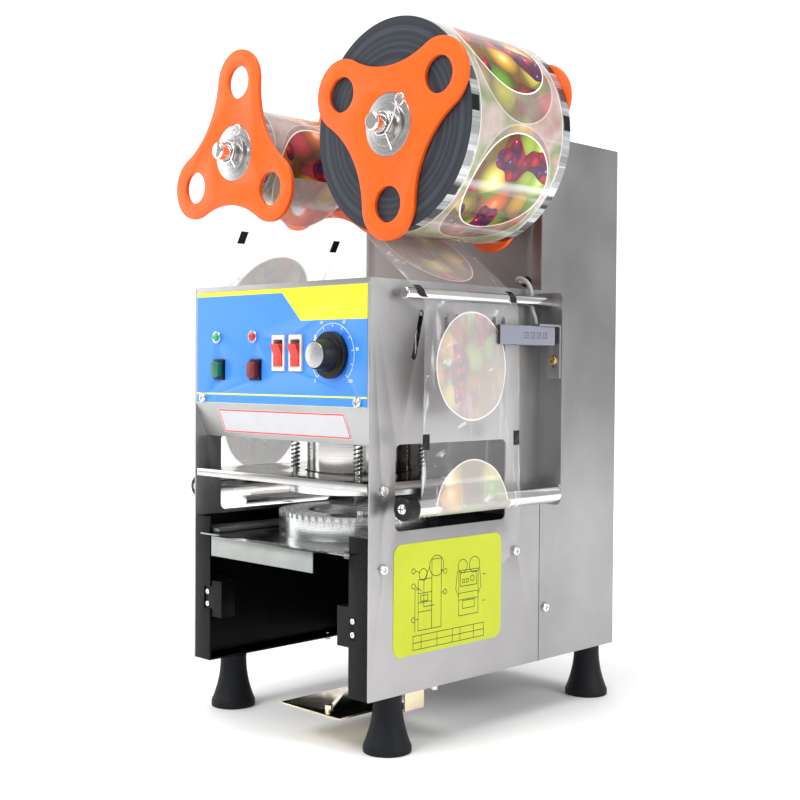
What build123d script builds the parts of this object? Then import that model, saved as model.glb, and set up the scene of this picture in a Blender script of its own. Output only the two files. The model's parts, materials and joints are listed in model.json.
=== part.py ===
from build123d import *
import math
import os

# Desktop cup sealing machine, in millimetres.
# X runs to the right of a person facing the control panel, Y runs from the front to
# the back and Z is up. While the parts are made, Y is 0 at the control panel's face
# and Z is 0 at the floor. save() then moves every part by the same amount, so that
# the origin ends up under the middle of the whole machine.

# ---- Housing ----
body_width = 240.0
box_depth = 225.0            # front box that holds the cup bay and the sealing head
column_depth = 121.0         # tall rear column that carries the film reels
box_height = 352.0
column_height = 498.0
sheet = 1.5                  # thickness of the bent sheet metal
bulkhead_thickness = 2.0
foot_height = 50.0
foot_top_radius = 12.5
foot_bottom_radius = 21.0
foot_inset = 14.0            # from the side of the housing to the centre of a foot
foot_front_y = 36.5
foot_rear_inset = 25.0

# ---- Cup bay frame ----
frame_flange = 24.4          # how far the black frame turns inwards at the front
frame_height = 136.0
notch_low = 49.0             # latch notch in each flange
notch_high = 70.0
notch_depth = 9.0
catch_inset = 10.0           # latch block behind each notch, from the side
catch_width = 30.0
catch_depth = 16.0
catch_low = 42.0
catch_high = 76.0
catch_screw_inset = 20.0
catch_screw_z = (53.5, 65.0)

# ---- Film windows and vents in the side panels ----
window_front = 30.0
window_back = 174.0
window_low = 139.4           # heights above the bottom of the housing
window_high = 213.0
window_corner = 6.0
vent_width = 5.5
vent_count = 7
vent_pitch = 12.8
vent_first_y = 92.0
vent_low = 292.0
vent_high = 325.0
long_vent_y = 56.0
long_vent_z = 306.0
long_vent_length = 44.0
long_vent_lean = 14.0        # degrees

# ---- Control panel ----
panel_height = 104.0         # printed front face
panel_top_strip = 5.0        # bare strip above it
apron_drop = 31.0
apron_set_back = 13.0
apron_lip = 12.0
overlay_thickness = 0.4
overlay_margin = 2.0
overlay_hole_gap = 0.5
caution_width = 174.0
caution_height = 24.0
side_label_front = 28.5
side_label_back = 168.5
side_label_low = 32.0
side_label_high = 128.0
side_label_corner = 9.0

# ---- Switches, lamps and knob, placed from the middle and the foot of the panel ----
lamp_x = (-84.0, -31.0)
lamp_z = 62.0
lamp_radius = 3.4
lamp_bezel_radius = 5.6
lamp_bezel_height = 2.6
lamp_height = 5.0
lamp_body = 15.0
button_x = (-81.0, -28.0)
button_z = 32.0
button_frame = (15.0, 19.0)
button_size = (11.6, 14.6)
button_height = 7.0
button_corner = 3.6
button_travel = 1.5
rocker_x = (5.0, 28.0)
rocker_z = 47.0
rocker_frame = (17.0, 32.0)
rocker_size = (11.4, 20.0)
rocker_tilt = 12.0           # degrees each side of the middle
key_clearance = 0.4
frame_height_out = 2.2       # switch frames stand this far out of the panel
switch_depth = 20.0
knob_x = 74.0
knob_z = 45.0
knob_skirt_radius = 20.0
knob_grip_radius = 14.5
knob_top_radius = 12.0
knob_cap_radius = 11.0
knob_height = 19.0
knob_skirt_height = 4.5
knob_cap_height = 1.2
knob_spindle_radius = 3.0
knob_panel_gap = 0.6

# ---- Film, reels and rollers ----
film_centre_y = 102.0        # also the centre of the sealing head and the cup
film_width = 130.0
film_web_width = 129.0       # the free web, just clear of the turning spiders
film_thickness = 0.4
reel_spacing = 210.0
reel_height = 483.0          # reel axes above the bottom of the housing
reel_shaft_radius = 8.2
reel_shaft_nose = 20.0       # shaft beyond the front spider
supply_radius = 91.0
takeup_radius = 44.0
core_inner_radius = 38.0
core_outer_radius = 41.5
spider_thickness = 4.2
spider_hub_hole = 27.0
spider_lobe_distance = 67.0
spider_lobe_hole = 15.5
spider_lobe_radius = 31.0
spider_waist_radius = 90.0
supply_spider_turn = -90.0   # direction of the first lobe, degrees up from +X
takeup_spider_turn = 84.5
washer_radii = (26.7, 18.5, 12.0)
washer_thicknesses = (4.2, 3.0, 3.6)
clip_wire_radius = 0.9
clip_coil_radius = 11.0
bearing_radius = 12.8
bearing_length = 35.0
rod_radius = 5.0
rod_front_y = 27.0
rod_stand_off = 12.0         # from the side panel to the rods' axes
rod_z = 340.0
inner_rod_stand_off = 6.5
inner_rod_z = 145.0
inner_rod_front_y = 64.0
roller_radius = 8.0
roller_stand_off = 20.4
roller_z = 161.0
roller_front_y = 30.0
roller_spindle_radius = 3.0
roller_cap_radius = 10.0
roller_cap_length = 12.5
film_gap = 0.3               # between the web and what it runs over
bracket_thickness = 3.0
bracket_width = 27.0
bracket_low = (136.0, 150.7)   # left and right
bracket_high = 349.0
bracket_corner = 7.0

# ---- Film sensor and its cable ----
sensor_stand_off = 5.0
sensor_width = 19.0
sensor_front_y = 136.0
sensor_back_y = 215.0
sensor_low = 299.5
sensor_high = 317.0
sensor_slot_width = 4.4
sensor_slot_back_y = 169.0
holder_thickness = 2.0
holder_width = 15.0
holder_low = 269.0
cable_radius = 2.1
cable_hole_radius = 3.6

# ---- Sealing head ----
head_stroke = 18.0
plate_stroke = 9.0
stop_gap = 0.5               # left between the lowered head and the film
heater_radius = 49.0
heater_height = 69.0
die_ring_radius = 66.0
die_ring_drop = 12.0         # below the press plate
press_plate_side_gap = 3.0
press_plate_depth = 190.0
press_plate_rim = 7.0
bore_clearance = 2.0         # around the heater
carriage_thickness = 8.0
carriage_half_width = 85.0
carriage_front = 57.0        # from the head's centre
carriage_back = 58.0
pin_x = 43.0
pin_y = 42.0
pin_radius = 2.4
pin_clearance = 0.3
pin_head_radius = 4.6
pin_head_height = 3.5
spring_radius = 4.5
spring_wire = 1.1
post_x = 70.0
post_radius = 5.0
running_clearance = 0.1
crank_pin_radius = 3.0
crank_disc_radius = 15.0
crank_disc_thickness = 6.0
crank_above_carriage = 27.0
yoke_half_width = 30.0
yoke_thickness = 6.0
yoke_height = 54.0
yoke_front = 24.0            # behind the head's centre
yoke_gap = 2.0
slot_side_gap = 1.0
slot_height = 11.0
head_frame_thickness = 4.0
head_frame_above_carriage = 74.0
head_frame_front = 60.0
gearbox_half_width = 28.0
gearbox_half_height = 24.0
gearbox_depth = 30.0
head_motor_radius = 22.0

# ---- Cup drawer ----
tray_height = 122.0          # its top, above the bottom of the housing
tray_half_width = 94.5
tray_back = 210.0
tray_lip_half_width = 102.0
tray_lip_front = 8.0
tray_lip_gap = 0.5
tray_handle_half_width = 70.0
tray_handle_front = 18.0
tray_handle_drop = 18.0
drawer_travel = 150.0
cup_radius = 47.5
ring_radius = 75.0
ring_height = 22.0
ring_rim_height = 4.0        # toothed upper edge
ring_tooth_depth = 1.6
ring_teeth = 60
ring_bolt_distance = 61.5    # from the ring's centre to its two bolts
ring_bolt_turn = -42.0       # direction of the first bolt, degrees from +X
ring_bolt_radius = 3.2
ring_bolt_height = 5.0
rail_inner_x = 86.0
rail_front = 3.0
rail_back = 220.0
rail_below = 4.0
rail_above = 3.0
slide_clearance = 0.3
gear_module = 1.5
pinion_teeth = 16
gear_backlash = 0.5
gear_width = 5.0
rack_x = 81.0
rack_width = 6.0
rack_height = 8.5
rack_front = 36.0
pinion_y = 49.0
pinion_shaft_radius = 2.5
drawer_motor_radius = 13.5
drawer_motor_start_x = 92.0

# ---- Loading plate under the right side ----
plate_inset = 12.0
plate_ear_width = 20.0
plate_width = 77.0
plate_front = -3.0
plate_ear_front = 56.0
plate_back = 80.0
plate_drop = 20.0            # below the housing

# ---- Fasteners ----
screw_head_radius = 4.5
screw_head_height = 2.8
screw_shank_radius = 1.9
screw_shank_length = 2.8
screw_recess = 1.2
small_screw_scale = 0.58
base_bolt_insets = ((8.0, 88.0), (13.0, 160.0))   # right and left, from the side and the front
base_bolt_radius = 4.0       # across the hexagon's corners
base_bolt_height = 4.5

# ---- Worked out from the sizes above ----
half_width = body_width / 2
inner_half = half_width - sheet
depth = box_depth + column_depth
base_z = foot_height
box_top = base_z + box_height
column_top = base_z + column_height
panel_bottom = box_top - panel_top_strip - panel_height
reel_x = reel_spacing / 2
reel_z = base_z + reel_height
film_front = film_centre_y - film_width / 2
film_back = film_centre_y + film_width / 2
spider_front = film_front - spider_thickness
shaft_front = spider_front - reel_shaft_nose
tray_top = base_z + tray_height
tray_under = tray_top - sheet
roller_axis_z = base_z + roller_z
rod_axis_z = base_z + rod_z
web_radius = roller_radius + film_gap + film_thickness / 2
web_z = roller_axis_z - web_radius
head_low = web_z + film_thickness / 2 + stop_gap
heater_bottom = head_low + head_stroke
carriage_bottom = heater_bottom + heater_height
carriage_top = carriage_bottom + carriage_thickness
die_bottom = head_low + plate_stroke
plate_bottom = die_bottom + die_ring_drop
plate_top = plate_bottom + press_plate_rim
crank_radius = head_stroke / 2
crank_z = carriage_top + crank_above_carriage
yoke_y = film_centre_y + yoke_front
crank_y = yoke_y + yoke_thickness + yoke_gap
frame_inner = half_width - 2 * sheet
catch_outer_x = half_width - catch_inset
catch_inner_x = catch_outer_x - catch_width
catch_screw_x = half_width - catch_screw_inset
rod_x = half_width + rod_stand_off
inner_rod_x = half_width + inner_rod_stand_off
roller_x = half_width + roller_stand_off
sensor_inner_x = half_width + sensor_stand_off
sensor_outer_x = sensor_inner_x + sensor_width
press_plate_width = body_width - 2 * press_plate_side_gap
plate_ear_right = half_width - plate_inset
plate_right = plate_ear_right - plate_ear_width
plate_left = plate_right - plate_width
bracket_face = box_depth - bracket_thickness
whole_front = -(overlay_thickness + knob_panel_gap + knob_height + knob_cap_height)
whole_back = depth + screw_head_height
origin_y = (whole_front + whole_back) / 2


# ---- Simple shapes ----
def block(x0, x1, y0, y1, z0, z1):
    """A box between two corners."""
    corner = (Align.MIN, Align.MIN, Align.MIN)
    return Pos(x0, y0, z0) * Box(x1 - x0, y1 - y0, z1 - z0, align=corner)


def rod_along_x(y, z, radius, x0, x1):
    return Pos((x0 + x1) / 2, y, z) * Rot(0, 90, 0) * Cylinder(radius, x1 - x0)


def rod_along_y(x, z, radius, y0, y1):
    return Pos(x, (y0 + y1) / 2, z) * Rot(90, 0, 0) * Cylinder(radius, y1 - y0)


def rod_along_z(x, y, radius, z0, z1):
    return Pos(x, y, (z0 + z1) / 2) * Cylinder(radius, z1 - z0)


def prism_x(outline, x0, x1):
    """Extrude a closed outline of (y, z) points along X."""
    face = make_face(Polyline(*outline, close=True))
    return extrude(Plane.YZ.offset(x0) * face, amount=x1 - x0)


def prism_y(face, y0, y1):
    """Extrude a face drawn in (x, z) along Y."""
    plane = Plane(origin=(0, y0, 0), x_dir=(1, 0, 0), z_dir=(0, -1, 0))
    return extrude(plane * face, amount=-(y1 - y0))


def mirrored(shape):
    """The same shape on the other side of the machine."""
    return mirror(shape, about=Plane.YZ)


def pan_screw():
    """A cross-head pan screw: the head stands on the XY plane, the shank goes down."""
    head = Cylinder(screw_head_radius, screw_head_height, align=(Align.CENTER, Align.CENTER, Align.MIN))
    head = fillet(head.edges().group_by(Axis.Z)[-1], screw_head_height * 0.45)
    shank = Pos(0, 0, -screw_shank_length / 2) * Cylinder(screw_shank_radius, screw_shank_length)
    arm = screw_head_radius * 1.1
    recess_z = screw_head_height - screw_recess / 2
    cross = Pos(0, 0, recess_z) * (Box(arm, 1.1, screw_recess) + Box(1.1, arm, screw_recess))
    return head + shank - cross


def facing(x, y, z, direction):
    """A location at a point whose own Z looks along a direction."""
    return Location(Plane(origin=(x, y, z), z_dir=direction))


# ---- Positions shared by holes and what goes in them ----
def side_screw_points():
    """(y, z) of the screws in a side panel and the column behind it."""
    front = foot_front_y - 20.5
    return [(front, base_z + 175.0), (front, base_z + 109.0), (box_depth - 36.0, base_z + 108.5)]


def column_screw_point():
    return box_depth + 9.0, base_z + 50.0


def panel_screw_points():
    edge = inner_half - 12.5
    return [(-edge, panel_bottom + 5.5), (edge, panel_bottom + 5.5)]


def rear_screw_points():
    edge = inner_half - 10.0
    heights = (base_z + 12.0, base_z + column_height / 2, column_top - 14.0)
    return [(side * edge, z) for side in (-1, 1) for z in heights]


screw_hole_radius = screw_shank_radius + running_clearance
small_hole_radius = screw_shank_radius * small_screw_scale + running_clearance


# ---- Housing ----
def vent_cuts(x0, x1):
    """Slots through one side panel: a long leaning one and a row of upright ones."""
    across = x1 - x0
    row_height = vent_high - vent_low
    plane_z = base_z + (vent_low + vent_high) / 2
    cuts = []
    for i in range(vent_count):
        y = vent_first_y + i * vent_pitch
        plane = Plane(origin=(x0, y, plane_z), x_dir=(0, 1, 0), z_dir=(1, 0, 0))
        slot = Rot(0, 0, 90) * SlotOverall(row_height, vent_width)
        cuts.append(extrude(plane * slot, amount=across))
    plane = Plane(origin=(x0, long_vent_y, base_z + long_vent_z), x_dir=(0, 1, 0), z_dir=(1, 0, 0))
    long_slot = Rot(0, 0, 90 - long_vent_lean) * SlotOverall(long_vent_length, vent_width)
    cuts.append(extrude(plane * long_slot, amount=across))
    return cuts


def side_panel():
    """The right-hand stainless skin of the front box."""
    panel = block(inner_half, half_width, 0, box_depth, base_z, box_top)
    middle_y = (window_front + window_back) / 2
    middle_z = base_z + (window_low + window_high) / 2
    plane = Plane(origin=(inner_half, middle_y, middle_z), x_dir=(0, 1, 0), z_dir=(1, 0, 0))
    window = RectangleRounded(window_back - window_front, window_high - window_low, window_corner)
    panel -= extrude(plane * window, amount=sheet)
    for cut in vent_cuts(inner_half, half_width):
        panel -= cut
    for y, z in side_screw_points():
        panel -= rod_along_x(y, z, screw_hole_radius, inner_half, half_width)
    return panel


def bay_frame():
    """The right-hand black frame that lines the cup bay and carries the front foot."""
    top = base_z + frame_height
    wall = block(frame_inner, inner_half, 0, box_depth, base_z, top)
    flange = block(half_width - frame_flange, inner_half, 0, sheet, base_z, top)
    lip = block(half_width - frame_flange, inner_half, 0, box_depth, base_z, base_z + sheet)
    frame = wall + flange + lip
    for y, z in side_screw_points():
        frame -= rod_along_x(y, z, screw_hole_radius, frame_inner, inner_half)
    edge = half_width - frame_flange
    frame -= block(edge, edge + notch_depth, 0, sheet, base_z + notch_low, base_z + notch_high)
    catch_back = sheet + catch_depth
    frame += block(catch_inner_x, catch_outer_x, sheet, catch_back, base_z + catch_low, base_z + catch_high)
    for z in catch_screw_z:
        frame -= rod_along_y(catch_screw_x, base_z + z, small_hole_radius, sheet, sheet + screw_shank_length)
    return frame


def base_bolt_points():
    (right, right_y), (left, left_y) = base_bolt_insets
    return [(half_width - right, right_y), (left - half_width, left_y)]


def bay_frames():
    """Both frames, each with the hole for the bolt under its lip."""
    frames = [bay_frame(), mirrored(bay_frame())]
    for i, (x, y) in enumerate(base_bolt_points()):
        frames[i] -= rod_along_z(x, y, screw_hole_radius, base_z, base_z + sheet)
    return frames


def top_cover():
    """Lid of the front box, with the bare strip above the control panel."""
    lid = block(-inner_half, inner_half, 0, box_depth, box_top - sheet, box_top)
    strip = block(-inner_half, inner_half, 0, sheet, box_top - panel_top_strip, box_top - sheet)
    return lid + strip


def panel_cuts(y0, y1, gap):
    """Openings for everything on the control panel, widened by a gap all round."""
    cuts = []
    for x in lamp_x:
        cuts.append(rod_along_y(x, panel_bottom + lamp_z, lamp_radius + gap, y0, y1))
    for x in button_x:
        w = button_size[0] / 2 + sheet + gap
        h = button_size[1] / 2 + sheet + gap
        z = panel_bottom + button_z
        cuts.append(block(x - w, x + w, y0, y1, z - h, z + h))
    for x in rocker_x:
        w = rocker_size[0] / 2 + sheet + gap
        h = rocker_opening_height() / 2 + sheet + gap
        z = panel_bottom + rocker_z
        cuts.append(block(x - w, x + w, y0, y1, z - h, z + h))
    spindle_hole = knob_spindle_radius + 1 + gap
    cuts.append(rod_along_y(knob_x, panel_bottom + knob_z, spindle_hole, y0, y1))
    for x, z in panel_screw_points():
        cuts.append(rod_along_y(x, z, screw_hole_radius + gap, y0, y1))
    return cuts


def rocker_opening_height():
    """Height that the tilted rocker sweeps, with its clearance."""
    lean = math.radians(rocker_tilt)
    corner = rocker_size[1] / 2 * math.cos(lean) + rocker_depth_out * math.sin(lean)
    return 2 * (corner + key_clearance)


rocker_depth_out = 7.7


def control_panel():
    """Front sheet: an upright face, an apron that slopes back under it and a lip."""
    slope = math.hypot(apron_set_back, apron_drop)
    shift_y = sheet * apron_drop / slope
    shift_z = sheet * apron_set_back / slope
    low = panel_bottom - apron_drop
    outline = [
        (0, box_top - panel_top_strip),
        (0, panel_bottom),
        (apron_set_back, low),
        (apron_set_back + apron_lip, low),
        (apron_set_back + apron_lip, low + sheet),
        (apron_set_back + shift_z, low + sheet),
        (sheet, panel_bottom + shift_z / 2),
        (sheet, box_top - panel_top_strip),
    ]
    panel = prism_x(outline, -inner_half, inner_half)
    for cut in panel_cuts(0, sheet, overlay_hole_gap / 2):
        panel -= cut
    return panel


def labels():
    """Printed panel face, caution plate on the apron and loading chart on the side."""
    low = panel_bottom + overlay_margin / 2
    high = box_top - panel_top_strip
    face = block(-inner_half + overlay_margin, inner_half - overlay_margin, -overlay_thickness, 0, low, high)
    for cut in panel_cuts(-overlay_thickness, 0, overlay_hole_gap):
        face -= cut
    lean = math.degrees(math.atan2(apron_set_back, apron_drop))
    mid_y = apron_set_back / 2
    mid_z = panel_bottom - apron_drop / 2
    caution = Box(caution_width, overlay_thickness, caution_height)
    plate = Pos(0, mid_y, mid_z) * Rot(lean, 0, 0) * Pos(0, -overlay_thickness / 2, 0) * caution
    chart_y = (side_label_front + side_label_back) / 2
    chart_z = base_z + (side_label_low + side_label_high) / 2
    plane = Plane(origin=(half_width, chart_y, chart_z), x_dir=(0, 1, 0), z_dir=(1, 0, 0))
    chart = RectangleRounded(side_label_back - side_label_front, side_label_high - side_label_low,
                             side_label_corner)
    return [face, plate, extrude(plane * chart, amount=overlay_thickness)]


def bulkhead():
    """Upright plate between the front box and the column; its top shows above the box."""
    plate = block(-inner_half, inner_half, box_depth, box_depth + bulkhead_thickness,
                  base_z, column_top - sheet)
    back = box_depth + bulkhead_thickness
    for side in (-1, 1):
        plate -= rod_along_y(side * reel_x, reel_z, reel_shaft_radius + 0.5, box_depth, back)
    x, _, z = cable_route()[0]
    plate -= rod_along_y(x, z, cable_hole_radius, box_depth, back)
    return plate


def column_wrap():
    """Bent cover of the column: both sides and the top."""
    outside = block(-half_width, half_width, box_depth, depth, base_z, column_top)
    inside = block(-inner_half, inner_half, box_depth, depth, base_z, column_top - sheet)
    wrap = outside - inside
    y, z = column_screw_point()
    return wrap - rod_along_x(y, z, screw_hole_radius, -half_width, half_width)


def rear_cover():
    """Back sheet with cooling slots and the hole for the mains inlet."""
    cover = block(-inner_half, inner_half, depth - sheet, depth, base_z, column_top - sheet)
    slot_length = 60.0
    for row in range(2):
        for i in range(8):
            x = (i - 3.5) * 14.0
            z = base_z + 190.0 + row * 90.0
            cover -= block(x - 2.5, x + 2.5, depth - sheet, depth, z, z + slot_length)
    w, h = inlet_size[0] / 2, inlet_size[1] / 2
    cover -= block(inlet_x - w, inlet_x + w, depth - sheet, depth, inlet_z - h, inlet_z + h)
    for x, z in rear_screw_points():
        cover -= rod_along_y(x, z, screw_hole_radius, depth - sheet, depth)
    return cover


inlet_size = (28.0, 20.0)
inlet_x = 60.0
inlet_z = base_z + 45.0


def power_inlet():
    """Mains inlet: a flange outside, a socket body inside, open to the back."""
    w, h = inlet_size[0] / 2, inlet_size[1] / 2
    flange_border = 5.0
    flange = block(inlet_x - w - flange_border, inlet_x + w + flange_border, depth,
                   depth + 2.0, inlet_z - h - flange_border, inlet_z + h + flange_border)
    body = block(inlet_x - w + 0.3, inlet_x + w - 0.3, depth - 24.0, depth, inlet_z - h + 0.3,
                 inlet_z + h - 0.3)
    wall = 2.2
    socket = block(inlet_x - w + wall, inlet_x + w - wall, depth - 18.0, depth + 2.0,
                   inlet_z - h + wall, inlet_z + h - wall)
    return flange + body - socket


def base_plate():
    """Floor of the column, which the rear feet are screwed to."""
    return block(-inner_half, inner_half, box_depth + bulkhead_thickness, depth - sheet,
                 base_z, base_z + sheet)


def foot_points():
    x = half_width - foot_inset
    rear = depth - foot_rear_inset
    return [(side * x, y) for y in (foot_front_y, rear) for side in (-1, 1)]


def foot():
    """A flared rubber foot, turned from a curved profile."""
    waist = foot_top_radius + 1.0
    flare = Spline((foot_top_radius, foot_height), (waist, foot_height * 0.62),
                   (foot_bottom_radius, 5.0))
    outline = flare + Polyline((foot_bottom_radius, 5.0), (foot_bottom_radius, 0), (0, 0),
                               (0, foot_height), (foot_top_radius, foot_height))
    return revolve(Plane.XZ * make_face(outline), axis=Axis.Z)


def screws():
    """All the pan-head screws that show on the housing, and the sensor's own."""
    placed = []
    for side in (-1, 1):
        for y, z in side_screw_points() + [column_screw_point()]:
            placed.append(facing(side * half_width, y, z, (side, 0, 0)) * pan_screw())
    for x, z in panel_screw_points():
        placed.append(facing(x, -overlay_thickness, z, (0, -1, 0)) * pan_screw())
    for x, z in rear_screw_points():
        placed.append(facing(x, depth, z, (0, 1, 0)) * pan_screw())
    holder_x, holder_z = holder_screw_point()
    placed.append(facing(holder_x, bracket_face - holder_thickness, holder_z, (0, -1, 0)) * pan_screw())
    small = scale(pan_screw(), by=small_screw_scale)
    for side in (-1, 1):
        for z in catch_screw_z:
            placed.append(facing(side * catch_screw_x, sheet, base_z + z, (0, -1, 0)) * small)
    return placed + base_bolts()


def base_bolts():
    """Hexagon bolts that stand out under the frames' lips."""
    bolts = []
    for x, y in base_bolt_points():
        low = base_z - base_bolt_height
        head = extrude(Pos(x, y, low) * RegularPolygon(base_bolt_radius, 6), amount=base_bolt_height)
        bolts.append(head + rod_along_z(x, y, screw_shank_radius, base_z, base_z + screw_shank_length))
    return bolts


def loading_plate():
    """Polished plate slung under the right side, bent up to the frame's lip."""
    low = base_z - plate_drop
    floor = block(plate_left, plate_right, plate_front, plate_back, low, low + sheet)
    ear = block(plate_right, plate_ear_right, plate_ear_front, plate_back, low, low + sheet)
    wall = block(plate_ear_right - sheet, plate_ear_right, plate_ear_front, plate_back, low, base_z)
    bolt = rod_along_z(plate_left + 51.0, plate_front + 12.0, 3.5, low + sheet, low + sheet + 5.0)
    return floor + ear + wall + bolt


# ---- Film path ----
def path_circles():
    """Centres, web radii and sides of what the film runs on, from supply to take-up.

    The side is 1 where the circle lies to the left of the travelling web.
    """
    web = film_gap + film_thickness / 2
    roll = film_thickness / 2 + film_gap
    return [
        (reel_x, reel_z, supply_radius + roll, 1),
        (rod_x, rod_axis_z, rod_radius + web, -1),
        (roller_x, roller_axis_z, web_radius, -1),
        (-roller_x, roller_axis_z, web_radius, -1),
        (-rod_x, rod_axis_z, rod_radius + web, -1),
        (-reel_x, reel_z, takeup_radius + roll, 1),
    ]


def tangent_run(first, second):
    """The straight stretch of web between two circles, as two (x, z) points."""
    x1, z1, r1, s1 = first
    x2, z2, r2, s2 = second
    gap = math.hypot(x2 - x1, z2 - z1)
    heading = math.atan2(z2 - z1, x2 - x1) - math.asin((s2 * r2 - s1 * r1) / gap)
    nx, nz = -math.sin(heading), math.cos(heading)
    start = (x1 - s1 * r1 * nx, z1 - s1 * r1 * nz)
    end = (x2 - s2 * r2 * nx, z2 - s2 * r2 * nz)
    return start, end


def film_web():
    """The free stretches of film, each a flat strip between its two tangent points."""
    circles = path_circles()
    end_gap = 0.3
    strips = []
    for first, second in zip(circles, circles[1:]):
        (x1, z1), (x2, z2) = tangent_run(first, second)
        length = math.hypot(x2 - x1, z2 - z1) - 2 * end_gap
        turn = -math.degrees(math.atan2(z2 - z1, x2 - x1))
        strip = Box(length, film_web_width, film_thickness)
        strips.append(Pos((x1 + x2) / 2, film_centre_y, (z1 + z2) / 2) * Rot(0, turn, 0) * strip)
    return strips


def film_brackets():
    """Upright ears on both sides of the box that carry the rods and rollers."""
    ears = []
    for side, low in zip((-1, 1), bracket_low):
        height = bracket_high - low
        face = RectangleRounded(2 * bracket_width, height, bracket_corner)
        plane = Plane(origin=(side * half_width, box_depth, base_z + low + height / 2),
                      x_dir=(1, 0, 0), z_dir=(0, -1, 0))
        ear = extrude(plane * face, amount=bracket_thickness)
        if side > 0:
            x, z = holder_screw_point()
            ear -= rod_along_y(x, z, screw_hole_radius, bracket_face, box_depth)
        outside = block(half_width, half_width + bracket_width, bracket_face, box_depth, 0, column_top)
        ears.append(ear & (outside if side > 0 else mirrored(outside)))
    return ears


def film_rods():
    """Fixed guide rods: one over each window and a thin one inside the left run."""
    rods = [rod_along_y(side * rod_x, rod_axis_z, rod_radius, rod_front_y, bracket_face)
            for side in (-1, 1)]
    rods = [chamfer(rod.edges().group_by(Axis.Y)[0], 0.8) for rod in rods]
    rods.append(rod_along_y(-inner_rod_x, base_z + inner_rod_z, rod_radius, inner_rod_front_y, bracket_face))
    return rods


def roller(side):
    """A polished tube that turns on its spindle."""
    x = side * roller_x
    back = bracket_face - 2 * film_gap
    outer = rod_along_y(x, roller_axis_z, roller_radius, roller_front_y, back)
    bore = rod_along_y(x, roller_axis_z, roller_spindle_radius + film_gap, roller_front_y, back)
    return outer - bore


def roller_spindles():
    """Fixed spindles, each with its black end cap."""
    spindles = []
    cap_back = roller_front_y - film_gap
    cap_front = cap_back - roller_cap_length
    for side in (-1, 1):
        x = side * roller_x
        spindle = rod_along_y(x, roller_axis_z, roller_spindle_radius, cap_back, bracket_face)
        cap = rod_along_y(x, roller_axis_z, roller_cap_radius, cap_front, cap_back)
        cap = fillet(cap.edges().group_by(Axis.Y)[0], 1.5)
        spindles += [spindle, cap]
    return spindles


# ---- Reels ----
def spider_outline():
    """Three round lobes joined by hollow waists, drawn with the first lobe along +X."""
    reach = spider_lobe_radius + spider_waist_radius
    d = spider_lobe_distance
    waist_distance = (d + math.sqrt(4 * reach ** 2 - 3 * d ** 2)) / 2
    edges = []
    for i in range(3):
        lobe_turn = math.radians(120 * i)
        next_turn = math.radians(120 * i + 60)
        lobe = Vector(math.cos(lobe_turn), math.sin(lobe_turn)) * d
        after = Vector(math.cos(next_turn), math.sin(next_turn)) * waist_distance
        before_turn = lobe_turn - math.radians(60)
        before = Vector(math.cos(before_turn), math.sin(before_turn)) * waist_distance
        enter = lobe + (before - lobe) * (spider_lobe_radius / reach)
        leave = lobe + (after - lobe) * (spider_lobe_radius / reach)
        tip = lobe * ((d + spider_lobe_radius) / d)
        edges.append(ThreePointArc(enter, tip, leave))
        following = Vector(math.cos(lobe_turn + math.radians(120)),
                           math.sin(lobe_turn + math.radians(120))) * d
        meet = following + (after - following) * (spider_lobe_radius / reach)
        dip = after * ((waist_distance - spider_waist_radius) / waist_distance)
        edges.append(ThreePointArc(leave, dip, meet))
    face = make_face(edges)
    face -= Circle(spider_hub_hole)
    for i in range(3):
        turn = math.radians(120 * i)
        face -= Pos(d * math.cos(turn), d * math.sin(turn)) * Circle(spider_lobe_hole)
    return face


def spiders(x, turn):
    """The two three-armed discs that hold a roll, outside its faces."""
    face = Pos(x, reel_z) * Rot(0, 0, turn) * spider_outline()
    front = prism_y(face, spider_front, film_front)
    back = prism_y(face, film_back, film_back + spider_thickness)
    return [front, back]


def reel_shaft(x, back):
    shaft = rod_along_y(x, reel_z, reel_shaft_radius, shaft_front, back)
    return chamfer(shaft.edges().group_by(Axis.Y)[0], 1.5)


def roll(x, radius):
    """Wound film on its cardboard core, as two separate solids."""
    core_bore = rod_along_y(x, reel_z, core_inner_radius, film_front, film_back)
    core_body = rod_along_y(x, reel_z, core_outer_radius, film_front, film_back)
    wound = rod_along_y(x, reel_z, radius, film_front, film_back)
    return [wound - core_body, core_body - core_bore]


def reel_lock(x):
    """Stepped steel washers in both hubs and the sprung wire clip on the nose."""
    shaft_hole = rod_along_y(x, reel_z, reel_shaft_radius, shaft_front, film_back + 20.0)
    stack = []
    face = film_front
    for radius, thickness in zip(washer_radii, washer_thicknesses):
        stack.append(rod_along_y(x, reel_z, radius, face - thickness, face) - shaft_hole)
        face -= thickness
    rear = film_back
    for radius, thickness in zip(washer_radii[:2], washer_thicknesses):
        stack.append(rod_along_y(x, reel_z, radius, rear, rear + thickness) - shaft_hole)
        rear += thickness
    clip_y = face - clip_wire_radius
    ring = Pos(x, clip_y, reel_z) * Rot(90, 0, 0) * Torus(clip_coil_radius, clip_wire_radius)
    return stack + [ring]


def reel_bearings():
    """Flanged cartridges behind the bulkhead that carry the two reel shafts."""
    front = box_depth + bulkhead_thickness
    cartridges = []
    for side in (-1, 1):
        x = side * reel_x
        housing = rod_along_y(x, reel_z, bearing_radius, front, front + bearing_length)
        bore = rod_along_y(x, reel_z, reel_shaft_radius + running_clearance, front, front + bearing_length)
        cartridges.append(housing - bore)
    return cartridges


takeup_motor_front = box_depth + bulkhead_thickness + bearing_length + 4.0
takeup_motor_length = 62.0
takeup_coupling_depth = 8.0


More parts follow.
